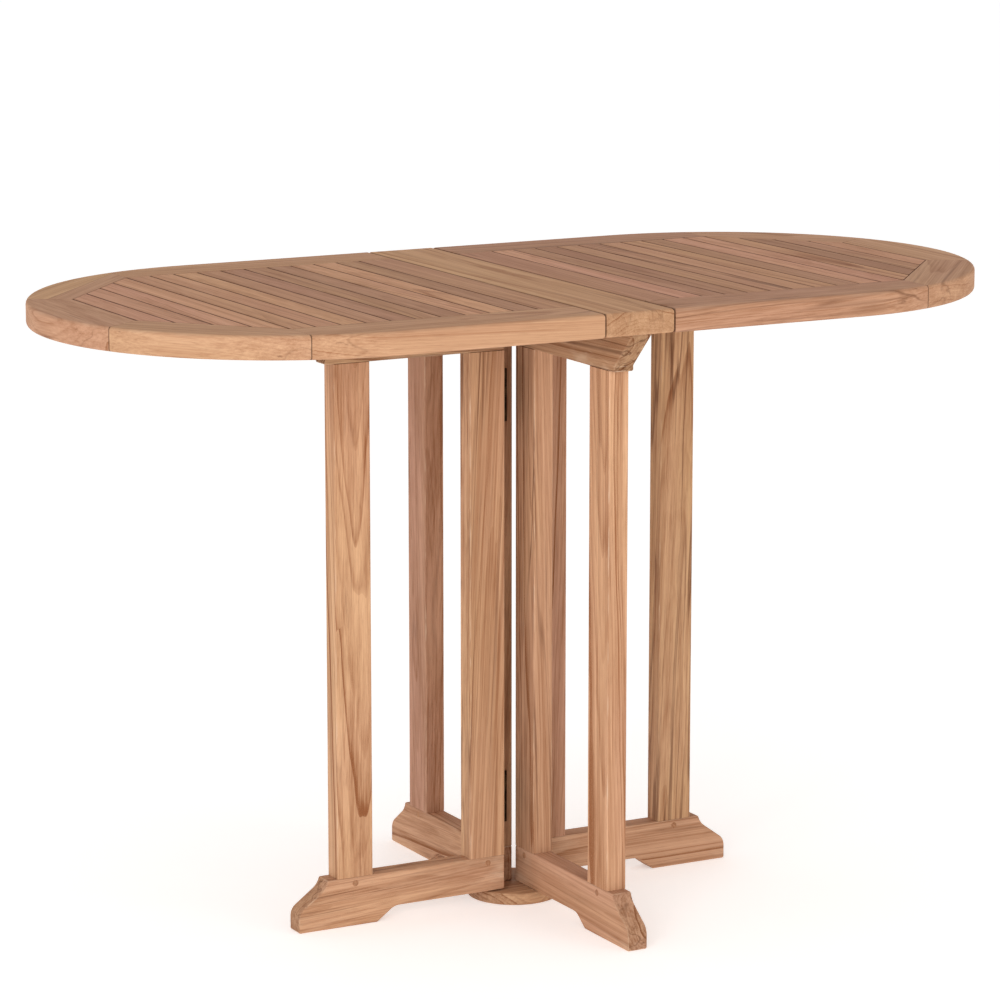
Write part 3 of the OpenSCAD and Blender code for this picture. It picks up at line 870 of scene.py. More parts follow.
    def streaks(self, g: Graph, place: object, share: object) -> tuple[object, object]:
        """Makes the dark streaks and veins.

        Streaks are the peaks of a noise drawn out along the grain. Veins are where another
        crosses its mean, broken up by a third.

        Args:
            g: The material's nodes.
            place: Place in the log, moved by the board's seed.
            share: The board's share of streaks.

        Returns:
            Darkness of the streaks and of the veins.
        """
        height = g.minus(self.STREAK_HEIGHT, g.times(share, self.STREAK_SPAN))
        peak = g.minus(g.noise(place, Figure.STREAK), height)
        streak = g.times(peak, self.STREAK_SHARP, clamp=True)
        off_mean = g.math("ABSOLUTE", g.minus(g.noise(place, Figure.VEIN), 0.5))
        vein = g.minus(1.0, g.times(off_mean, self.VEIN_NARROW), clamp=True)
        vein = g.times(vein, g.ramp(g.noise(place, Figure.BREAK), Curve.BREAK))
        strength = g.plus(self.VEIN_LEAST, g.times(share, self.VEIN_OWN))
        return streak, g.times(vein, strength, clamp=True)

    def material(self) -> bpy.types.Material:
        """Makes the material once.

        Fibres, bands and pores are noise drawn out along the grain, and patches shift the hue.
        End grain is darker, tight gaps and joint lines are darkened as painted shade, and worn arrises are
        paler in places.

        Returns:
            The material.
        """
        if self.name in bpy.data.materials:
            return bpy.data.materials[self.name]
        g = Graph(self.name)
        grain = g.attribute("grain")
        tone, share, seed = g.split(g.attribute("board"))
        arris, end, gap_shade = g.split(g.attribute("wear_and_shade"))
        # Each seed moves the board along a line that is askew to all three axes.
        place = g.vector("ADD", grain, g.scaled(g.join(1.0, 1.7, -1.3), g.times(seed, self.PLACE_SEEDS)))
        ring, knot = self.rings(g, place, grain, seed)
        ring = g.times(ring, g.plus(1.0, end))
        streak, vein = self.streaks(g, place, share)
        fibre, band = g.noise(place, Figure.FIBRE), g.noise(place, Figure.BAND)
        pore = g.ramp(g.noise(place, Figure.PORE), Curve.PORE)
        patch = g.ramp(g.noise(place, Figure.PATCH), Curve.PATCH)

        shade = g.plus(self.BASE_SHADE, g.times(ring, self.ring_contrast))
        shade = g.plus(shade, g.times(g.minus(fibre, 0.5), self.fibre_contrast))
        shade = g.plus(shade, g.times(g.minus(band, 0.5), self.band_contrast))
        shade = g.plus(shade, g.times(pore, self.PORE_SHARE))
        shade = g.math("MINIMUM", g.math("MAXIMUM", shade, self.LEAST_SHADE), self.MOST_SHADE)
        colour = g.blend(shade, self.light, self.dark)
        colour.node.clamp_factor = False
        rosy = g.plus(g.times(patch, self.PATCH_ROSY), g.times(g.attribute("rosy", "Fac"), self.BOARD_ROSY))
        colour = g.blend(rosy, colour, g.blend(shade, self.rosy, self.dark))
        for mark, most in ((streak, self.STREAK_SHARE), (vein, self.VEIN_SHARE), (knot, self.KNOT_SHARE)):
            colour = g.blend(g.times(mark, most), colour, self.streak)
        lightness = g.plus(1.0, g.times(tone, self.TONE_LIGHT))
        lightness = g.minus(lightness, g.times(end, self.END_DARK))
        # Painted shade: tight gaps and joint lines darken the colour.
        lightness = g.times(lightness, g.minus(1.0, g.times(gap_shade, self.GROOVE_DARK)))
        worn = g.ramp(g.noise(place, Figure.WORN), Curve.WORN)
        worn = g.times(worn, g.math("POWER", arris, self.WORN_POWER))

        rough = g.plus(self.roughness - self.FIBRE_ROUGH / 2, g.times(fibre, self.FIBRE_ROUGH))
        relief = g.minus(g.times(fibre, self.FIBRE_RELIEF), pore)
        g.settle(
            Base_Color=g.blend(worn, g.scaled(colour, lightness), self.WORN_COLOUR),
            Roughness=g.plus(rough, g.times(end, self.END_ROUGH)),
            Specular_IOR_Level=self.GLOSS,
            Normal=g.bump(g.minus(relief, g.times(ring, self.RING_RELIEF)), self.RELIEF_DEPTH),
        )
        return g.material


@dataclass(frozen=True)
class AgedBrass:
    """Brass that air and oil have darkened, for the hinges and screws.

    Attributes:
        name: Name of the material.
        bright: Rubbed metal.
        tarnish: Dark film.
        roughness: Mean roughness.
    """

    name: str
    bright: Colour
    tarnish: Colour
    roughness: float = 0.38

    # Colour of the metal seen at a glancing angle.
    GLANCE = (0.50, 0.42, 0.32, 1.0)
    # What specks add to the clouds of film, what film adds to the roughness, and the relief's depth.
    SPECK_FILM, FILM_ROUGH, RELIEF_DEPTH = 0.3, 0.2, 0.00003

    def material(self) -> bpy.types.Material:
        """Makes the material once: tarnish in clouds and specks over brushed metal.

        Returns:
            The material.
        """
        if self.name in bpy.data.materials:
            return bpy.data.materials[self.name]
        g = Graph(self.name)
        place = g.node("ShaderNodeTexCoord").outputs["Object"]
        speck = g.noise(place, Figure.SPECK)
        film = g.plus(g.noise(place, Figure.CLOUD), g.times(speck, self.SPECK_FILM))
        film = g.ramp(film, Curve.FILM)
        g.settle(
            Base_Color=g.blend(film, self.bright, self.tarnish),
            Metallic=1.0,
            Specular_Tint=self.GLANCE,
            Roughness=g.plus(self.roughness, g.times(film, self.FILM_ROUGH)),
            Normal=g.bump(g.plus(g.noise(place, Figure.BRUSH), speck), self.RELIEF_DEPTH),
        )
        return g.material


# These names differ from the record's slots, because the CAD nodes arrive with materials that
# are named after the slots.
SLAT_TEAK = Teak(
    "slat_teak",
    "slat_wood",
    (0.620, 0.350, 0.195),
    (0.310, 0.132, 0.066),
    (0.555, 0.280, 0.200),
    ring_contrast=0.5,
)
RAIL_TEAK = Teak(
    "rail_teak", "frame_wood", (0.605, 0.362, 0.208), (0.320, 0.138, 0.066), (0.555, 0.300, 0.198)
)
BOARD_TEAK = Teak(
    "board_teak",
    "board_wood",
    (0.610, 0.365, 0.200),
    (0.330, 0.150, 0.070),
    (0.540, 0.300, 0.180),
    ring_mm=5.0,
)
GATE_TEAK = Teak(
    "gate_teak",
    "gate_wood",
    (0.590, 0.360, 0.194),
    (0.275, 0.116, 0.052),
    (0.548, 0.302, 0.210),
    band_contrast=1.85,
    ring_contrast=0.85,
)
PEG_TEAK = Teak(
    "peg_teak", "peg_wood", (0.500, 0.280, 0.155), (0.280, 0.120, 0.055), (0.420, 0.215, 0.130), ring_mm=1.6
)
HINGE_BRASS = AgedBrass("aged_hinge_brass", (0.150, 0.092, 0.042), (0.028, 0.018, 0.011), 0.42)
SCREW_BRASS = AgedBrass("aged_screw_brass", (0.300, 0.200, 0.095), (0.080, 0.052, 0.028), 0.36)

# How far bearers and disc clear the CAD underside, in mm.
UNDER_CLEAR = 0.3
EAST = np.array([1.0, 0.0, 0.0])
NORTH = np.array([0.0, 1.0, 0.0])
UP = np.array([0.0, 0.0, 1.0])
UNTURNED = Placement(np.zeros(3), np.eye(3))


# ---- The oval top ----


@dataclass
class OvalTop:
    """Sizes that the centre board and both leaves share, read from the frame.

    Attributes:
        rim_ease: Arris radius round the outside.
        seam_ease: Arris radius beside the seams.
        joint_ease: Arris radius at a glued joint.
        slat_ease: Arris radius along the slats.
        tight: Edges with a smaller arris than this stand against a neighbour.
        under_gap: How far the wood clears the CAD underside, so that let-in plates show.
    """

    rim_ease: float = 4.2
    seam_ease: float = 2.4
    joint_ease: float = 0.45
    slat_ease: float = 1.1
    tight: float = 3.0
    under_gap: float = 0.5

    def __post_init__(self) -> None:
        """Reads the board and the rails from the frame."""
        board_low, board_high = cad_box("centre_board")
        rail_low, rail_high = cad_box("right_hinge_rail")
        end_low, end_high = cad_box("right_end_rail")
        side_low, side_high = cad_box("right_back_rail")
        self.bottom, self.top = board_low[2], board_high[2]
        self.board_half = board_high[0]
        self.end_radius = board_high[1]
        self.end_x = end_high[0] - self.end_radius
        self.leaf_x, self.slats_x = rail_low[0], rail_high[0]
        self.corner = np.array([side_high[0], side_low[1]])

    def rim(self, start: float, stop: float, step: float = np.radians(3)) -> np.ndarray:
        """Points on the right-hand end's arc.

        A point is the end's centre plus the end's radius times the cosine and sine of its angle.

        Args:
            start: First angle about the end's centre.
            stop: Last angle.
            step: Most that one point is turned from the next.

        Returns:
            The points.
        """
        count = max(2, int(np.ceil(abs(stop - start) / step)) + 1)
        angle = np.linspace(start, stop, count)
        centre = np.array([self.end_x, 0.0])
        return centre + self.end_radius * np.stack([np.cos(angle), np.sin(angle)], axis=1)

    @property
    def side_angle(self) -> float:
        """Angle, about the end's centre, at which a side rail meets its corner block."""
        return float(np.arccos((self.corner[0] - self.end_x) / self.end_radius))


@dataclass
class CentreBoard:
    """The fixed board across the middle, with both ends rounded over.

    Attributes:
        oval: The top's shared sizes.
        mill: The sawmill.
    """

    oval: OvalTop
    mill: Sawmill

    def build(self) -> None:
        """Makes the board, with its seam sides eased for the leaves."""
        oval = self.oval
        x, y = oval.board_half, oval.end_radius
        corners = np.array([[-x, -y], [x, -y], [x, y], [-x, y]])
        ease = [oval.rim_ease, oval.seam_ease, oval.rim_ease, oval.seam_ease]
        outline = Outline.from_corners(corners, ease)
        slab = eased_slab(outline, oval.bottom + oval.under_gap, oval.top, tight=oval.tight)
        cut = Cut(NORTH, EAST, Sawn.FLAT, tone=0.35, streaks=0.2, tone_spread=0.05, rosy=0.25)
        Timber("centre_board", "root", BOARD_TEAK).add(slab, UNTURNED, self.mill, cut).finished()


@dataclass
class Leaf:
    """One hinged leaf: a frame of rails and corner blocks round a field of slats.

    Shapes are worked out for the right-hand leaf's back half, and placed by the signs of X
    and Y.

    Attributes:
        name: left or right.
        sign: -1 for the left leaf, 1 for the right one.
        oval: The top's shared sizes.
        mill: The sawmill.
        joint_angle: Direction of the joint between a corner block and the end rail.
        pitch: Distance from one slat to the next.
        slant_rise: How far a slanted edge runs across the table for each mm along it.
        slat_gap: Gap between two slats.
        slat_play: Gap at a slat's ends.
        strip_offset: Distance of the glued-on strip's edge from the inner slanted edge.
        bearer_ease: Arris radius of the bearer.
    """

    name: str
    sign: float
    oval: OvalTop
    mill: Sawmill
    joint_angle: float = np.radians(33)
    pitch: float = 31.0
    slant_rise: float = 1.09
    slat_gap: float = 2.0
    slat_play: float = 0.4
    strip_offset: float = 28.0
    bearer_ease: float = 1.5

    # Shares of streaks that a slat may have, and how often each comes up.
    SLAT_STREAKS, SLAT_ODDS = (0.0, 0.1, 0.3, 0.75), (0.4, 0.3, 0.2, 0.1)

    def __post_init__(self) -> None:
        """Works out the slats and the corner's inner points from the frame."""
        _, slats_high = cad_box("right_long_slats")
        short_low, short_high = cad_box("right_short_slats")
        self.slat_bottom = short_low[2]
        self.first_x = self.oval.slats_x + self.slat_gap
        self.long_count = round((slats_high[0] - self.first_x) / self.pitch)
        self.count = self.long_count + round((short_high[0] + self.slat_gap - short_low[0]) / self.pitch)
        tip_x = self.first_x + self.count * self.pitch
        corner = self.oval.corner
        self.tip = np.array([tip_x, corner[1] - (tip_x - corner[0]) * self.slant_rise])
        edge = self.tip - corner
        self.slant = np.array([-edge[1], edge[0]]) / np.linalg.norm(edge)
        self.joint = np.array([np.cos(self.joint_angle), np.sin(self.joint_angle)])

    @property
    def body(self) -> str:
        """Name of the body that the leaf is."""
        return f"{self.name}_leaf"

    def place(self, back: bool) -> Placement:
        """Placement of a piece of the right-hand leaf's back half."""
        sign_y = 1.0 if back else -1.0
        return Placement(np.zeros(3), np.diag([self.sign, sign_y, 1.0]))

    def timber(self, piece: str, finish: Teak) -> Timber:
        """Starts the object for one of the leaf's CAD nodes."""
        return Timber(f"{self.name}_{piece}", self.body, finish)

    def slab(self, corners: np.ndarray, ease: list[float], low: float | None = None) -> Surface:
        """A slab as thick as the top, or down to a given height."""
        bottom = self.oval.bottom if low is None else low
        return eased_slab(Outline.from_corners(corners, ease), bottom, self.oval.top, tight=self.oval.tight)

    def hinge_rail(self) -> None:
        """The rail along the seam, which carries the hinges."""
        oval = self.oval
        y = oval.corner[1]
        corners = np.array([[oval.leaf_x, -y], [oval.slats_x, -y], [oval.slats_x, y], [oval.leaf_x, y]])
        ease = [oval.joint_ease, oval.slat_ease, oval.joint_ease, oval.seam_ease]
        slab = self.slab(corners, ease, oval.bottom + oval.under_gap)
        cut = Cut(NORTH, EAST, Sawn.RIFT, streaks=0.2)
        self.timber("hinge_rail", SLAT_TEAK).add(slab, self.place(True), self.mill, cut).finished()

    def side_rail(self, back: bool) -> None:
        """A rail along the front or the back, with the start of the oval's curve.

        Args:
            back: Whether it is the back one.
        """
        oval = self.oval
        corner = oval.corner
        arc = oval.rim(oval.side_angle, np.pi / 2)
        corners = np.concatenate(
            [[[oval.leaf_x, corner[1]], corner], arc, [[oval.leaf_x, oval.end_radius]]]
        )
        ease = [oval.joint_ease, oval.joint_ease] + [oval.rim_ease] * len(arc) + [oval.seam_ease]
        slab = self.slab(corners, ease)
        cut = Cut(EAST, NORTH, Sawn.FLAT, streaks=0.55 if self.sign > 0 else 0.2)
        timber = self.timber(f"{'back' if back else 'front'}_rail", RAIL_TEAK)
        timber.add(slab, self.place(back), self.mill, cut).finished()

    def joint_angle_on_rim(self) -> float:
        """Finds where the end rail's joint meets the rim.

        The joint runs from the slats' tip in its own direction, as far as the positive root of
        the circle's equation.

        Returns:
            The angle about the end's centre.
        """
        away = self.tip - np.array([self.oval.end_x, 0.0])
        middle = away @ self.joint
        reach = -middle + np.sqrt(middle**2 - away @ away + self.oval.end_radius**2)
        end = away + reach * self.joint
        return float(np.arctan2(end[1], end[0]))

    def end_rail(self) -> None:
        """The rail across the end, between the two corner blocks."""
        oval = self.oval
        angle = self.joint_angle_on_rim()
        arc = oval.rim(-angle, angle)
        low_tip = self.tip * [1.0, -1.0]
        corners = np.concatenate([[low_tip], arc, [self.tip]])
        ease = [oval.joint_ease] + [oval.rim_ease] * (len(arc) - 1) + [oval.joint_ease, oval.slat_ease]
        slab = self.slab(corners, ease)
        cut = Cut(NORTH, EAST, Sawn.HEART, streaks=0.35 if self.sign < 0 else 0.2)
        self.timber("end_rail", RAIL_TEAK).add(slab, self.place(True), self.mill, cut).finished()

    def corner_block(self, back: bool) -> None:
        """A block at a corner, in two boards where a strip is glued to its outside.

        Args:
            back: Whether it is the back one.
        """
        oval = self.oval
        corner, tip = oval.corner, self.tip
        arc = oval.rim(self.joint_angle_on_rim(), oval.side_angle)
        name = f"{'back' if back else 'front'}_corner"
        along = np.append((tip - corner) * [self.sign, 1.0 if back else -1.0], 0.0)
        across = np.cross(UP, along)
        rim = [oval.rim_ease] * (len(arc) - 1)
        boards = []
        if self.sign < 0 and back:
            on_tip = tip + self.joint * self.strip_offset / (self.joint @ self.slant)
            on_side = corner + np.array([0.0, self.strip_offset / self.slant[1]])
            inner = np.array([corner, tip, on_tip, on_side])
            ease = [oval.slat_ease] + [oval.joint_ease] * 3
            boards.append((name, RAIL_TEAK, inner, ease, Cut.streaks))
            outer = np.concatenate([[on_side, on_tip], arc])
            ease = [oval.joint_ease] * 2 + rim + [oval.joint_ease]
            boards.append((f"{name}_strip", BOARD_TEAK, outer, ease, Cut.streaks))
        else:
            corners = np.concatenate([[corner, tip], arc])
            ease = [oval.slat_ease, oval.joint_ease] + rim + [oval.joint_ease]
            boards.append((name, RAIL_TEAK, corners, ease, 0.1 if self.sign < 0 else 0.3))
        for node, finish, corners, ease, streaks in boards:
            cut = Cut(along, across, Sawn.FLAT, streaks=streaks)
            timber = self.timber(node, finish)
            timber.add(self.slab(corners, ease), self.place(back), self.mill, cut).finished()

    def slats(self, piece: str, numbers: range) -> None:
        """The slats, each cut square or along the slanted edges at its ends.

        Args:
            piece: Name of the CAD node, without the side.
            numbers: Which slats, counted from the seam.
        """
        oval = self.oval
        timber = self.timber(piece, SLAT_TEAK)
        place = self.place(True)
        play = self.slat_play / self.slant[1]
        for number in numbers:
            x = self.first_x + number * self.pitch + np.array([0.0, self.pitch - self.slat_gap])
            slanted = self.tip[1] + (self.tip[0] - x) * self.slant_rise - play
            y = np.minimum(oval.corner[1] - self.slat_play, slanted)
            corners = np.array([[x[0], -y[0]], [x[1], -y[1]], [x[1], y[1]], [x[0], y[0]]])
            ease = [oval.joint_ease, oval.slat_ease, oval.joint_ease, oval.slat_ease]
            outline = Outline.from_corners(corners, ease, steps=4)
            slab = eased_slab(outline, self.slat_bottom, oval.top, 4, oval.tight)
            sawn = self.mill.dice.choice([Sawn.FLAT, Sawn.RIFT, Sawn.QUARTER])
            streaks = float(self.mill.dice.choice(self.SLAT_STREAKS, p=self.SLAT_ODDS))
            timber.add(slab, place, self.mill, Cut(NORTH, EAST, sawn, streaks=streaks, tone_spread=0.6))
        timber.finished()

    def bearer(self) -> None:
        """The batten that is screwed across the slats' underside."""
        low, high = cad_box(f"{self.name}_bearer")
        corners = np.array([[low[0], low[1]], [high[0], low[1]], [high[0], high[1]], [low[0], high[1]]])
        slab = eased_slab(Outline.from_corners(corners, self.bearer_ease), low[2] + UNDER_CLEAR, high[2])
        cut = Cut(EAST, NORTH, Sawn.FLAT)
        self.timber("bearer", GATE_TEAK).add(slab, UNTURNED, self.mill, cut).finished()

    def build(self) -> None:
        """Makes every wooden piece of the leaf."""
        self.hinge_rail()
        for back in (False, True):
            self.side_rail(back)
            self.corner_block(back)
        self.end_rail()
        self.slats("long_slats", range(self.long_count))
        self.slats("short_slats", range(self.long_count, self.count))
        self.bearer()


# ---- The base ----


@dataclass
class Gate:
    """One gate: a sled foot and a top rail joined by two posts.

    Its own axes are the distance out from its inner end, the height, and the depth through its
    thickness.

    Attributes:
        name: front, back, left or right.
        body: Body that it belongs to.
        out: Direction away from the middle of the table.
        through: Direction through its thickness.
        mill: The sawmill.
        post_streaks: Share of streaks in the inner and the outer post.
        post_tones: Lightness of the inner and the outer post.
        post_rosy: Pinkish tint of the inner and the outer post.
        foot_streaks: Share of streaks in the foot.
        foot_sawn: How the foot was sawn.
        rail_ease: Arris radius of the foot and the top rail.
        nose_ease: Arris radius under the top rail's far end.
        post_ease: Arris radius at the posts' ends.
        post_corner: Radius of the posts' long edges.
        past_post: How far the top rail runs on level past the outer post.
        square_end: Height of its square end, from which it slants to the tip.
        pad: Length of the foot's pad.
        toe_radius, toe_height, toe_sweep: The round toe's radius, start and angle.
        slope_length: Length of the slope after it, along the floor.
        hollow_radius: Radius of the hollow after that.
        arch_radius, arch_slope: Radius and angle of the bend between underside and ramp.
        peg_proud, peg_ease: How far the pegs stand out, and their arris radius.
    """

    name: str
    body: str
    out: np.ndarray
    through: np.ndarray
    mill: Sawmill
    post_streaks: tuple[float, float] = (0.2, 0.2)
    post_tones: tuple[float, float] = (0.0, 0.0)
    post_rosy: tuple[float, float] = (0.4, 0.4)
    foot_streaks: float = 0.3
    foot_sawn: Sawn = Sawn.FLAT
    rail_ease: float = 1.9
    nose_ease: float = 0.8
    post_ease: float = 0.3
    post_corner: float = 1.8
    past_post: float = 11.0
    pad: float = 104.0
    toe_radius: float = 16.0
    toe_height: float = 17.0
    toe_sweep: float = np.radians(54)
    slope_length: float = 22.5
    hollow_radius: float = 23.0
    arch_radius: float = 20.0
    arch_slope: float = np.radians(36)
    square_end: float = 6.5
    peg_proud: float = 0.35
    peg_ease: float = 0.7

    def __post_init__(self) -> None:
        """Reads the gate's corner and sizes from the frame."""
        low, high = cad_box(f"{self.name}_foot")
        positive = self.out + self.through + UP > 0
        self.origin = np.where(positive, low, high) * [1.0, 1.0, 0.0]
        span = high - low
        self.length = float(np.abs(span @ self.out))
        self.thickness = float(np.abs(span @ self.through))
        self.foot_top = float(high[2])

    def across(self, node: str) -> tuple[float, float, float, float]:
        """Measures one of the gate's CAD nodes.

        Args:
            node: Name of the node, without the gate's.

        Returns:
            Its near and far distance out, and its lowest and highest height.
        """
        low, high = cad_box(f"{self.name}_{node}")
        out = np.sort([(low - self.origin) @ self.out, (high - self.origin) @ self.out])
        return float(out[0]), float(out[1]), float(low[2]), float(high[2])

    @property
    def upright(self) -> Placement:
        """Placement of a slab drawn as distance out and height, thick through the gate."""
        return Placement(self.origin, np.array([self.out, UP, self.through]))

    @property
    def plan(self) -> Placement:
        """Placement of a slab drawn as distance out and depth, running up."""
        return Placement(self.origin, np.array([self.out, self.through, UP]))

    def toe(self) -> np.ndarray:
        """The ogee from the floor to the rail's top.

        A round toe turns by its sweep, a straight slope carries on, and a hollow of its own
        radius steepens until it reaches the rail's top.

        Returns:
            Points as distance from the tip and height.
        """
        turn = np.linspace(0, self.toe_sweep, 10)
        toe = np.stack(
            [self.toe_radius * (1 - np.cos(turn)), self.toe_height + self.toe_radius * np.sin(turn)], axis=1
        )
        slope = np.pi / 2 - self.toe_sweep
        start = toe[-1] + self.slope_length * np.array([1.0, np.tan(slope)])
        centre = start + self.hollow_radius * np.array([-np.sin(slope), np.cos(slope)])
        last = np.arcsin((self.foot_top - centre[1]) / self.hollow_radius)
        bend = np.linspace(slope - np.pi / 2, last, 9)
        hollow = centre + self.hollow_radius * np.stack([np.cos(bend), np.sin(bend)], axis=1)
        return np.concatenate([[[0.0, 0.0]], toe, hollow])

    def foot_outline(self, low: float) -> np.ndarray:
        """Outline of the foot, from its inner end along the underside to the toe and back.

        Args:
            low: Height of the rail's underside.

        Returns:
            Points as distance out and height.
        """
        rise = low - self.arch_radius * (1 - np.cos(self.arch_slope))
        arch_x = self.length - self.pad - rise / np.tan(self.arch_slope)
        arch_x -= self.arch_radius * np.sin(self.arch_slope)
        turn = np.linspace(np.pi / 2, np.pi / 2 - self.arch_slope, 6)
        arch = np.stack([np.cos(turn), np.sin(turn)], axis=1) * self.arch_radius
        arch += [arch_x, low - self.arch_radius]
        toe = self.toe() * [-1.0, 1.0] + [self.length, 0.0]
        pad = [[self.length - self.pad, 0.0]]
        return np.concatenate([[[0.0, low]], arch, pad, toe, [[0.0, self.foot_top]]])

    def make(self, piece: str, slab: Surface, place: Placement, cut: Cut) -> None:
        """Makes the object of one wooden piece of the gate.

        Args:
            piece: Name of the CAD node, without the gate's.
            slab: Its surface.
            place: Where it goes.
            cut: How its board is cut.
        """
        timber = Timber(f"{self.name}_{piece}", self.body, GATE_TEAK)
        timber.add(slab, place, self.mill, cut).finished()

    def foot(self, low: float) -> None:
        """Makes the sled foot.

        Args:
            low: Height of its rail's underside.
        """
        outline = Outline.from_corners(self.foot_outline(low), self.rail_ease, steps=4)
        slab = eased_slab(outline, 0.0, self.thickness)
        self.make("foot", slab, self.upright, Cut(self.out, UP, self.foot_sawn, streaks=self.foot_streaks))

    def top_rail(self) -> None:
        """The rail under the top, with its far end cut back at a slant."""
        _, post_end, _, _ = self.across("outer_post")
        _, far, low, high = self.across("top_rail")
        square = post_end + self.past_post
        step = low + self.square_end
        corners = np.array([[0.0, low], [square, low], [square, step], [far, high], [0.0, high]])
        ease = [self.rail_ease] * 3 + [self.nose_ease, self.rail_ease]
        slab = eased_slab(Outline.from_corners(corners, ease, steps=4), 0.0, self.thickness)
        cut = Cut(self.out, UP, Sawn.HEART, tone=-0.65, streaks=0.75, rosy=0.2)
        self.make("top_rail", slab, self.upright, cut)

    def posts(self) -> None:
        """The inner and the outer post, square with eased long edges."""
        _, _, rail_low, _ = self.across("top_rail")
        character = zip(("inner_post", "outer_post"), self.post_tones, self.post_streaks, self.post_rosy)
        for piece, tone, streaks, rosy in character:
            near, far, _, _ = self.across(piece)
            corners = np.array([[near, 0.0], [far, 0.0], [far, self.thickness], [near, self.thickness]])
            outline = Outline.from_corners(corners, self.post_ease, self.post_corner)
            slab = eased_slab(outline, self.foot_top, rail_low, 2)
            sawn = self.mill.dice.choice([Sawn.FLAT, Sawn.RIFT, Sawn.HEART])
            cut = Cut(UP, self.out, sawn, tone, streaks, tone_spread=0.1, rosy=rosy)
            self.make(piece, slab, self.plan, cut)

    def pegs(self) -> None:
        """The dowels through the foot, end grain outward and a hair proud."""
        near, far, low, high = self.across("pegs")
        radius = (high - low) / 2
        timber = Timber(f"{self.name}_pegs", self.body, PEG_TEAK)
        profile = round_profile(radius, -self.peg_proud, self.thickness + self.peg_proud, self.peg_ease, 4)
        surface = turned_surface(profile, 24)
        for middle in (near + radius, far - radius):
            moved = replace(surface, points=surface.points + [middle, (low + high) / 2, 0.0])
            timber.add(moved, self.upright, self.mill, Cut(self.through, UP, Sawn.HEART, tone=0.5))
        timber.finished()

    def build(self, rail_low: float) -> None:
        """Makes every wooden piece of the gate.

        Args:
            rail_low: Height of the foot rail's underside.
        """
        self.foot(rail_low)
        self.top_rail()
        self.posts()
        self.pegs()


@dataclass
class BaseDisc:
    """The small disc under the middle of the cross.

    Attributes:
        mill: The sawmill.
        ease: Arris radius.
    """

    mill: Sawmill
    ease: float = 1.6

    def build(self) -> None:
        """Makes the disc as a turned surface."""
        low, high = cad_box("base_disc")
        surface = turned_surface(round_profile(high[0], low[2] + UNDER_CLEAR, high[2], self.ease), 96)
        cut = Cut(EAST, NORTH, Sawn.FLAT, tone=-0.3, streaks=0.2)
        timber = Timber("base_disc", "root", replace(GATE_TEAK, slot="frame_wood"))
        timber.add(surface, UNTURNED, self.mill, cut).finished()


@dataclass
class Fittings:
    """Hinges, pins and screws, which stay as the CAD made them.

    Attributes:
        nodes: The CAD nodes' objects by name.
    """

    nodes: dict[str, bpy.types.Object]

    def build(self) -> None:
        """Gives every metal node its brass."""
        for name, piece in self.nodes.items():
            if name.endswith("screws"):
                finish = SCREW_BRASS
            elif name.endswith(("plates", "pins")):
                finish = HINGE_BRASS
            else:
                continue
            piece.data.materials.clear()
            piece.data.materials.append(finish.material())
            LOG.info("%s: dressed in %s", name, finish.name)


# ---- The studio ----


@dataclass(frozen=True)
class SoftLight:
    """A square soft light that faces the table.

    Attributes:
        name: Its name.
        place: Where it hangs, in metres.
        size: Length of its sides.
        power: Its power in watts.
        tint: Its colour.
    """

    name: str
    place: Point
    size: float
    power: float
    tint: Colour


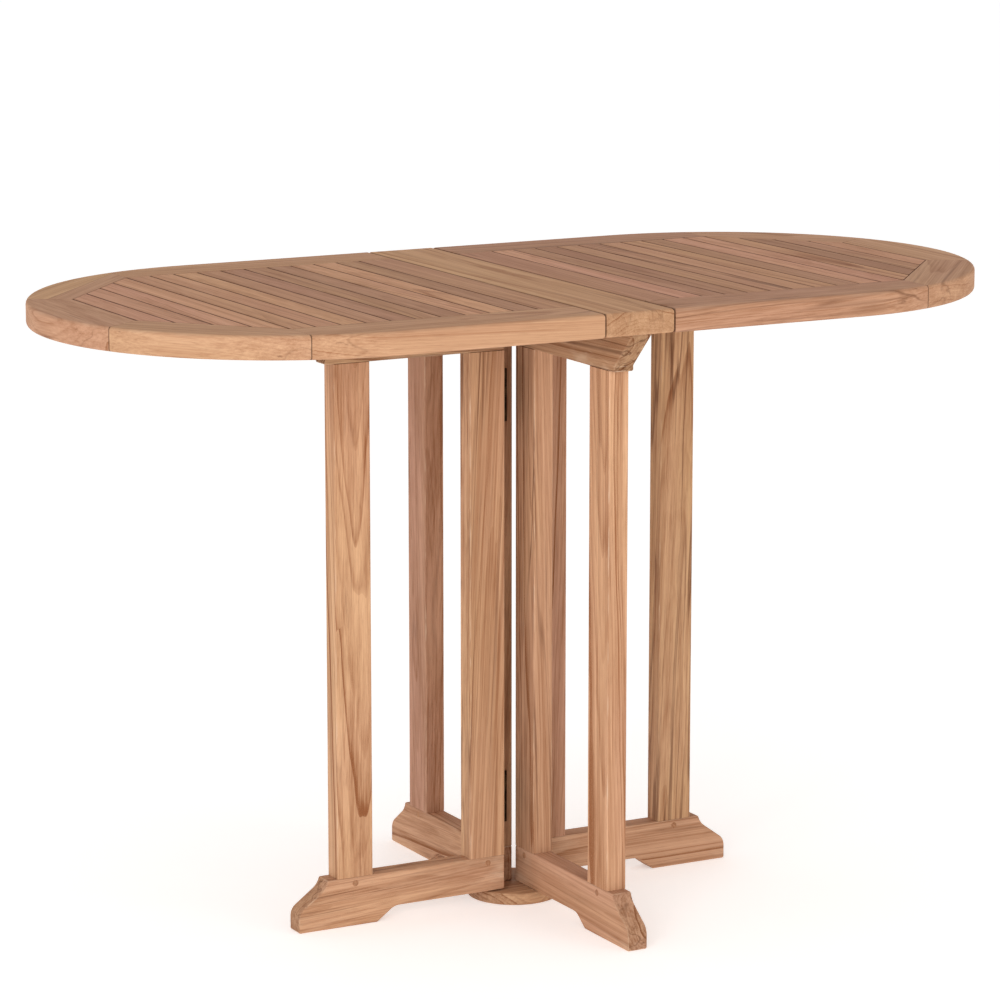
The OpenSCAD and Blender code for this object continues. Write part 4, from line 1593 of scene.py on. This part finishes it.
@dataclass
class Studio:
    """A white floor, a pale sky, two soft lights and the camera.

    Attributes:
        eye: Place of the camera.
        aim: Point that it looks at.
        lens_mm: Focal length.
        sensor_mm: Width of the sensor.
        view_depth: How far the camera sees.
        floor_size: Length of the floor's sides.
        floor_white: Reflectance of the floor.
        floor_glow: Strength of the floor's own light.
        floor_rough: Roughness of the floor.
        overhead: Colour of the sky above the table.
        overhead_from: Height on the sky from which it has that colour.
        sky_strength: Strength of the sky.
        lit_point: Point that the lights face.
        lights: The lights.
    """

    eye: Point = (-2.2695, -4.1751, 1.4284)
    aim: Point = (-0.0189, 0.0, 0.4929)
    lens_mm: float = 144.66
    sensor_mm: float = 36.0
    view_depth: float = 200.0
    floor_size: float = 60.0
    floor_white: float = 0.93
    floor_glow: float = 0.38
    floor_rough: float = 0.95
    overhead: Colour = (0.68, 0.67, 0.66)
    overhead_from: float = 0.75
    sky_strength: float = 0.93
    lit_point: Point = (0.0, 0.0, 0.4)
    lights: tuple[SoftLight, ...] = (
        SoftLight("key", (-3.6, -3.4, 1.5), 2.2, 84.0, (1.0, 0.985, 0.985)),
        SoftLight("fill", (2.8, -4.0, 1.2), 2.0, 30.0, (1.0, 0.88, 0.68)),
    )

    def stand(self, name: str, data: bpy.types.ID, place: Point, aim: Point) -> bpy.types.Object:
        """Places a camera or light and turns it to a point.

        Args:
            name: Name of the object.
            data: The camera or light.
            place: Where it stands.
            aim: Point that it faces.

        Returns:
            The object.
        """
        made = bpy.data.objects.new(name, data)
        bpy.context.scene.collection.objects.link(made)
        made.location = place
        made.rotation_euler = (Vector(aim) - Vector(place)).to_track_quat("-Z", "Y").to_euler()
        return made

    def camera(self) -> None:
        """Makes the camera and aims it."""
        data = bpy.data.cameras.new("camera")
        data.lens, data.sensor_width = self.lens_mm, self.sensor_mm
        data.clip_end = self.view_depth
        bpy.context.scene.camera = self.stand("camera", data, self.eye, self.aim)

    def floor(self) -> None:
        """Makes the floor: a wide square of matt white paper that glows a little."""
        half = self.floor_size / 2
        mesh = bpy.data.meshes.new("floor")
        corners = [(-half, -half, 0), (half, -half, 0), (half, half, 0), (-half, half, 0)]
        mesh.from_pydata(corners, [], [(0, 1, 2, 3)])
        g = Graph("white_floor")
        g.settle(
            Base_Color=(self.floor_white, self.floor_white, self.floor_white, 1.0),
            Roughness=self.floor_rough,
            Specular_IOR_Level=0.0,
            Emission_Color=(1.0, 1.0, 1.0, 1.0),
            Emission_Strength=self.floor_glow,
        )
        mesh.materials.append(g.material)
        floor = bpy.data.objects.new("floor", mesh)
        bpy.context.scene.collection.objects.link(floor)

    def sky(self) -> None:
        """Makes the sky: white at the horizon and dimmer overhead."""
        world = bpy.data.worlds.new("studio")
        bpy.context.scene.world = world
        world.use_nodes = True
        nodes, links = world.node_tree.nodes, world.node_tree.links
        background = nodes["Background"]
        place = nodes.new("ShaderNodeTexCoord")
        height = nodes.new("ShaderNodeSeparateXYZ")
        ramp = nodes.new("ShaderNodeValToRGB")
        level, above = ramp.color_ramp.elements
        level.position, level.color = 0.0, (1.0, 1.0, 1.0, 1.0)
        above.position, above.color = self.overhead_from, (*self.overhead, 1.0)
        links.new(place.outputs["Generated"], height.inputs[0])
        links.new(height.outputs["Z"], ramp.inputs[0])
        links.new(ramp.outputs[0], background.inputs["Color"])
        background.inputs["Strength"].default_value = self.sky_strength

    def light(self, lamp: SoftLight) -> None:
        """Makes a soft light.

        Args:
            lamp: The light.
        """
        data = bpy.data.lights.new(lamp.name, "AREA")
        data.size, data.energy, data.color = lamp.size, lamp.power, lamp.tint
        self.stand(lamp.name, data, lamp.place, self.lit_point)

    def build(self) -> None:
        """Makes the whole studio."""
        self.camera()
        self.floor()
        self.sky()
        for lamp in self.lights:
            self.light(lamp)
        bpy.context.scene.view_settings.view_transform = "Standard"


def main() -> None:
    """Builds the table and the studio."""
    logging.basicConfig(level=logging.INFO, format="%(name)s: %(message)s")
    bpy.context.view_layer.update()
    oval = OvalTop()
    mill = Sawmill(seed=11)
    CentreBoard(oval, mill).build()
    Leaf("left", -1.0, oval, mill).build()
    Leaf("right", 1.0, oval, mill).build()
    # Underside of the foot rails: the fixed ones lie on the disc, the moving ones swing over it.
    fixed_low, moving_low = 15.0, 17.0
    front = Gate("front", "root", -NORTH, EAST, mill, (0.75, 0.1), (0.0, 0.4), (0.35, 0.5), 0.45, Sawn.HEART)
    back = Gate("back", "root", NORTH, -EAST, mill, (0.3, 0.2), (-0.5, -0.2), (0.3, 1.0))
    left = Gate("left", "left_gate", -EAST, -NORTH, mill, (0.8, 0.15), (0.1, 0.25), (0.3, 0.35), 0.5)
    right = Gate("right", "right_gate", EAST, NORTH, mill, (0.3, 0.8), (-0.3, 0.0), (0.9, 0.0), 0.3)
    front.build(fixed_low)
    back.build(fixed_low)
    left.build(moving_low)
    right.build(moving_low)
    BaseDisc(mill).build()
    Fittings(frame["nodes"]).build()
    Studio().build()


if __name__ == "__main__":
    main()
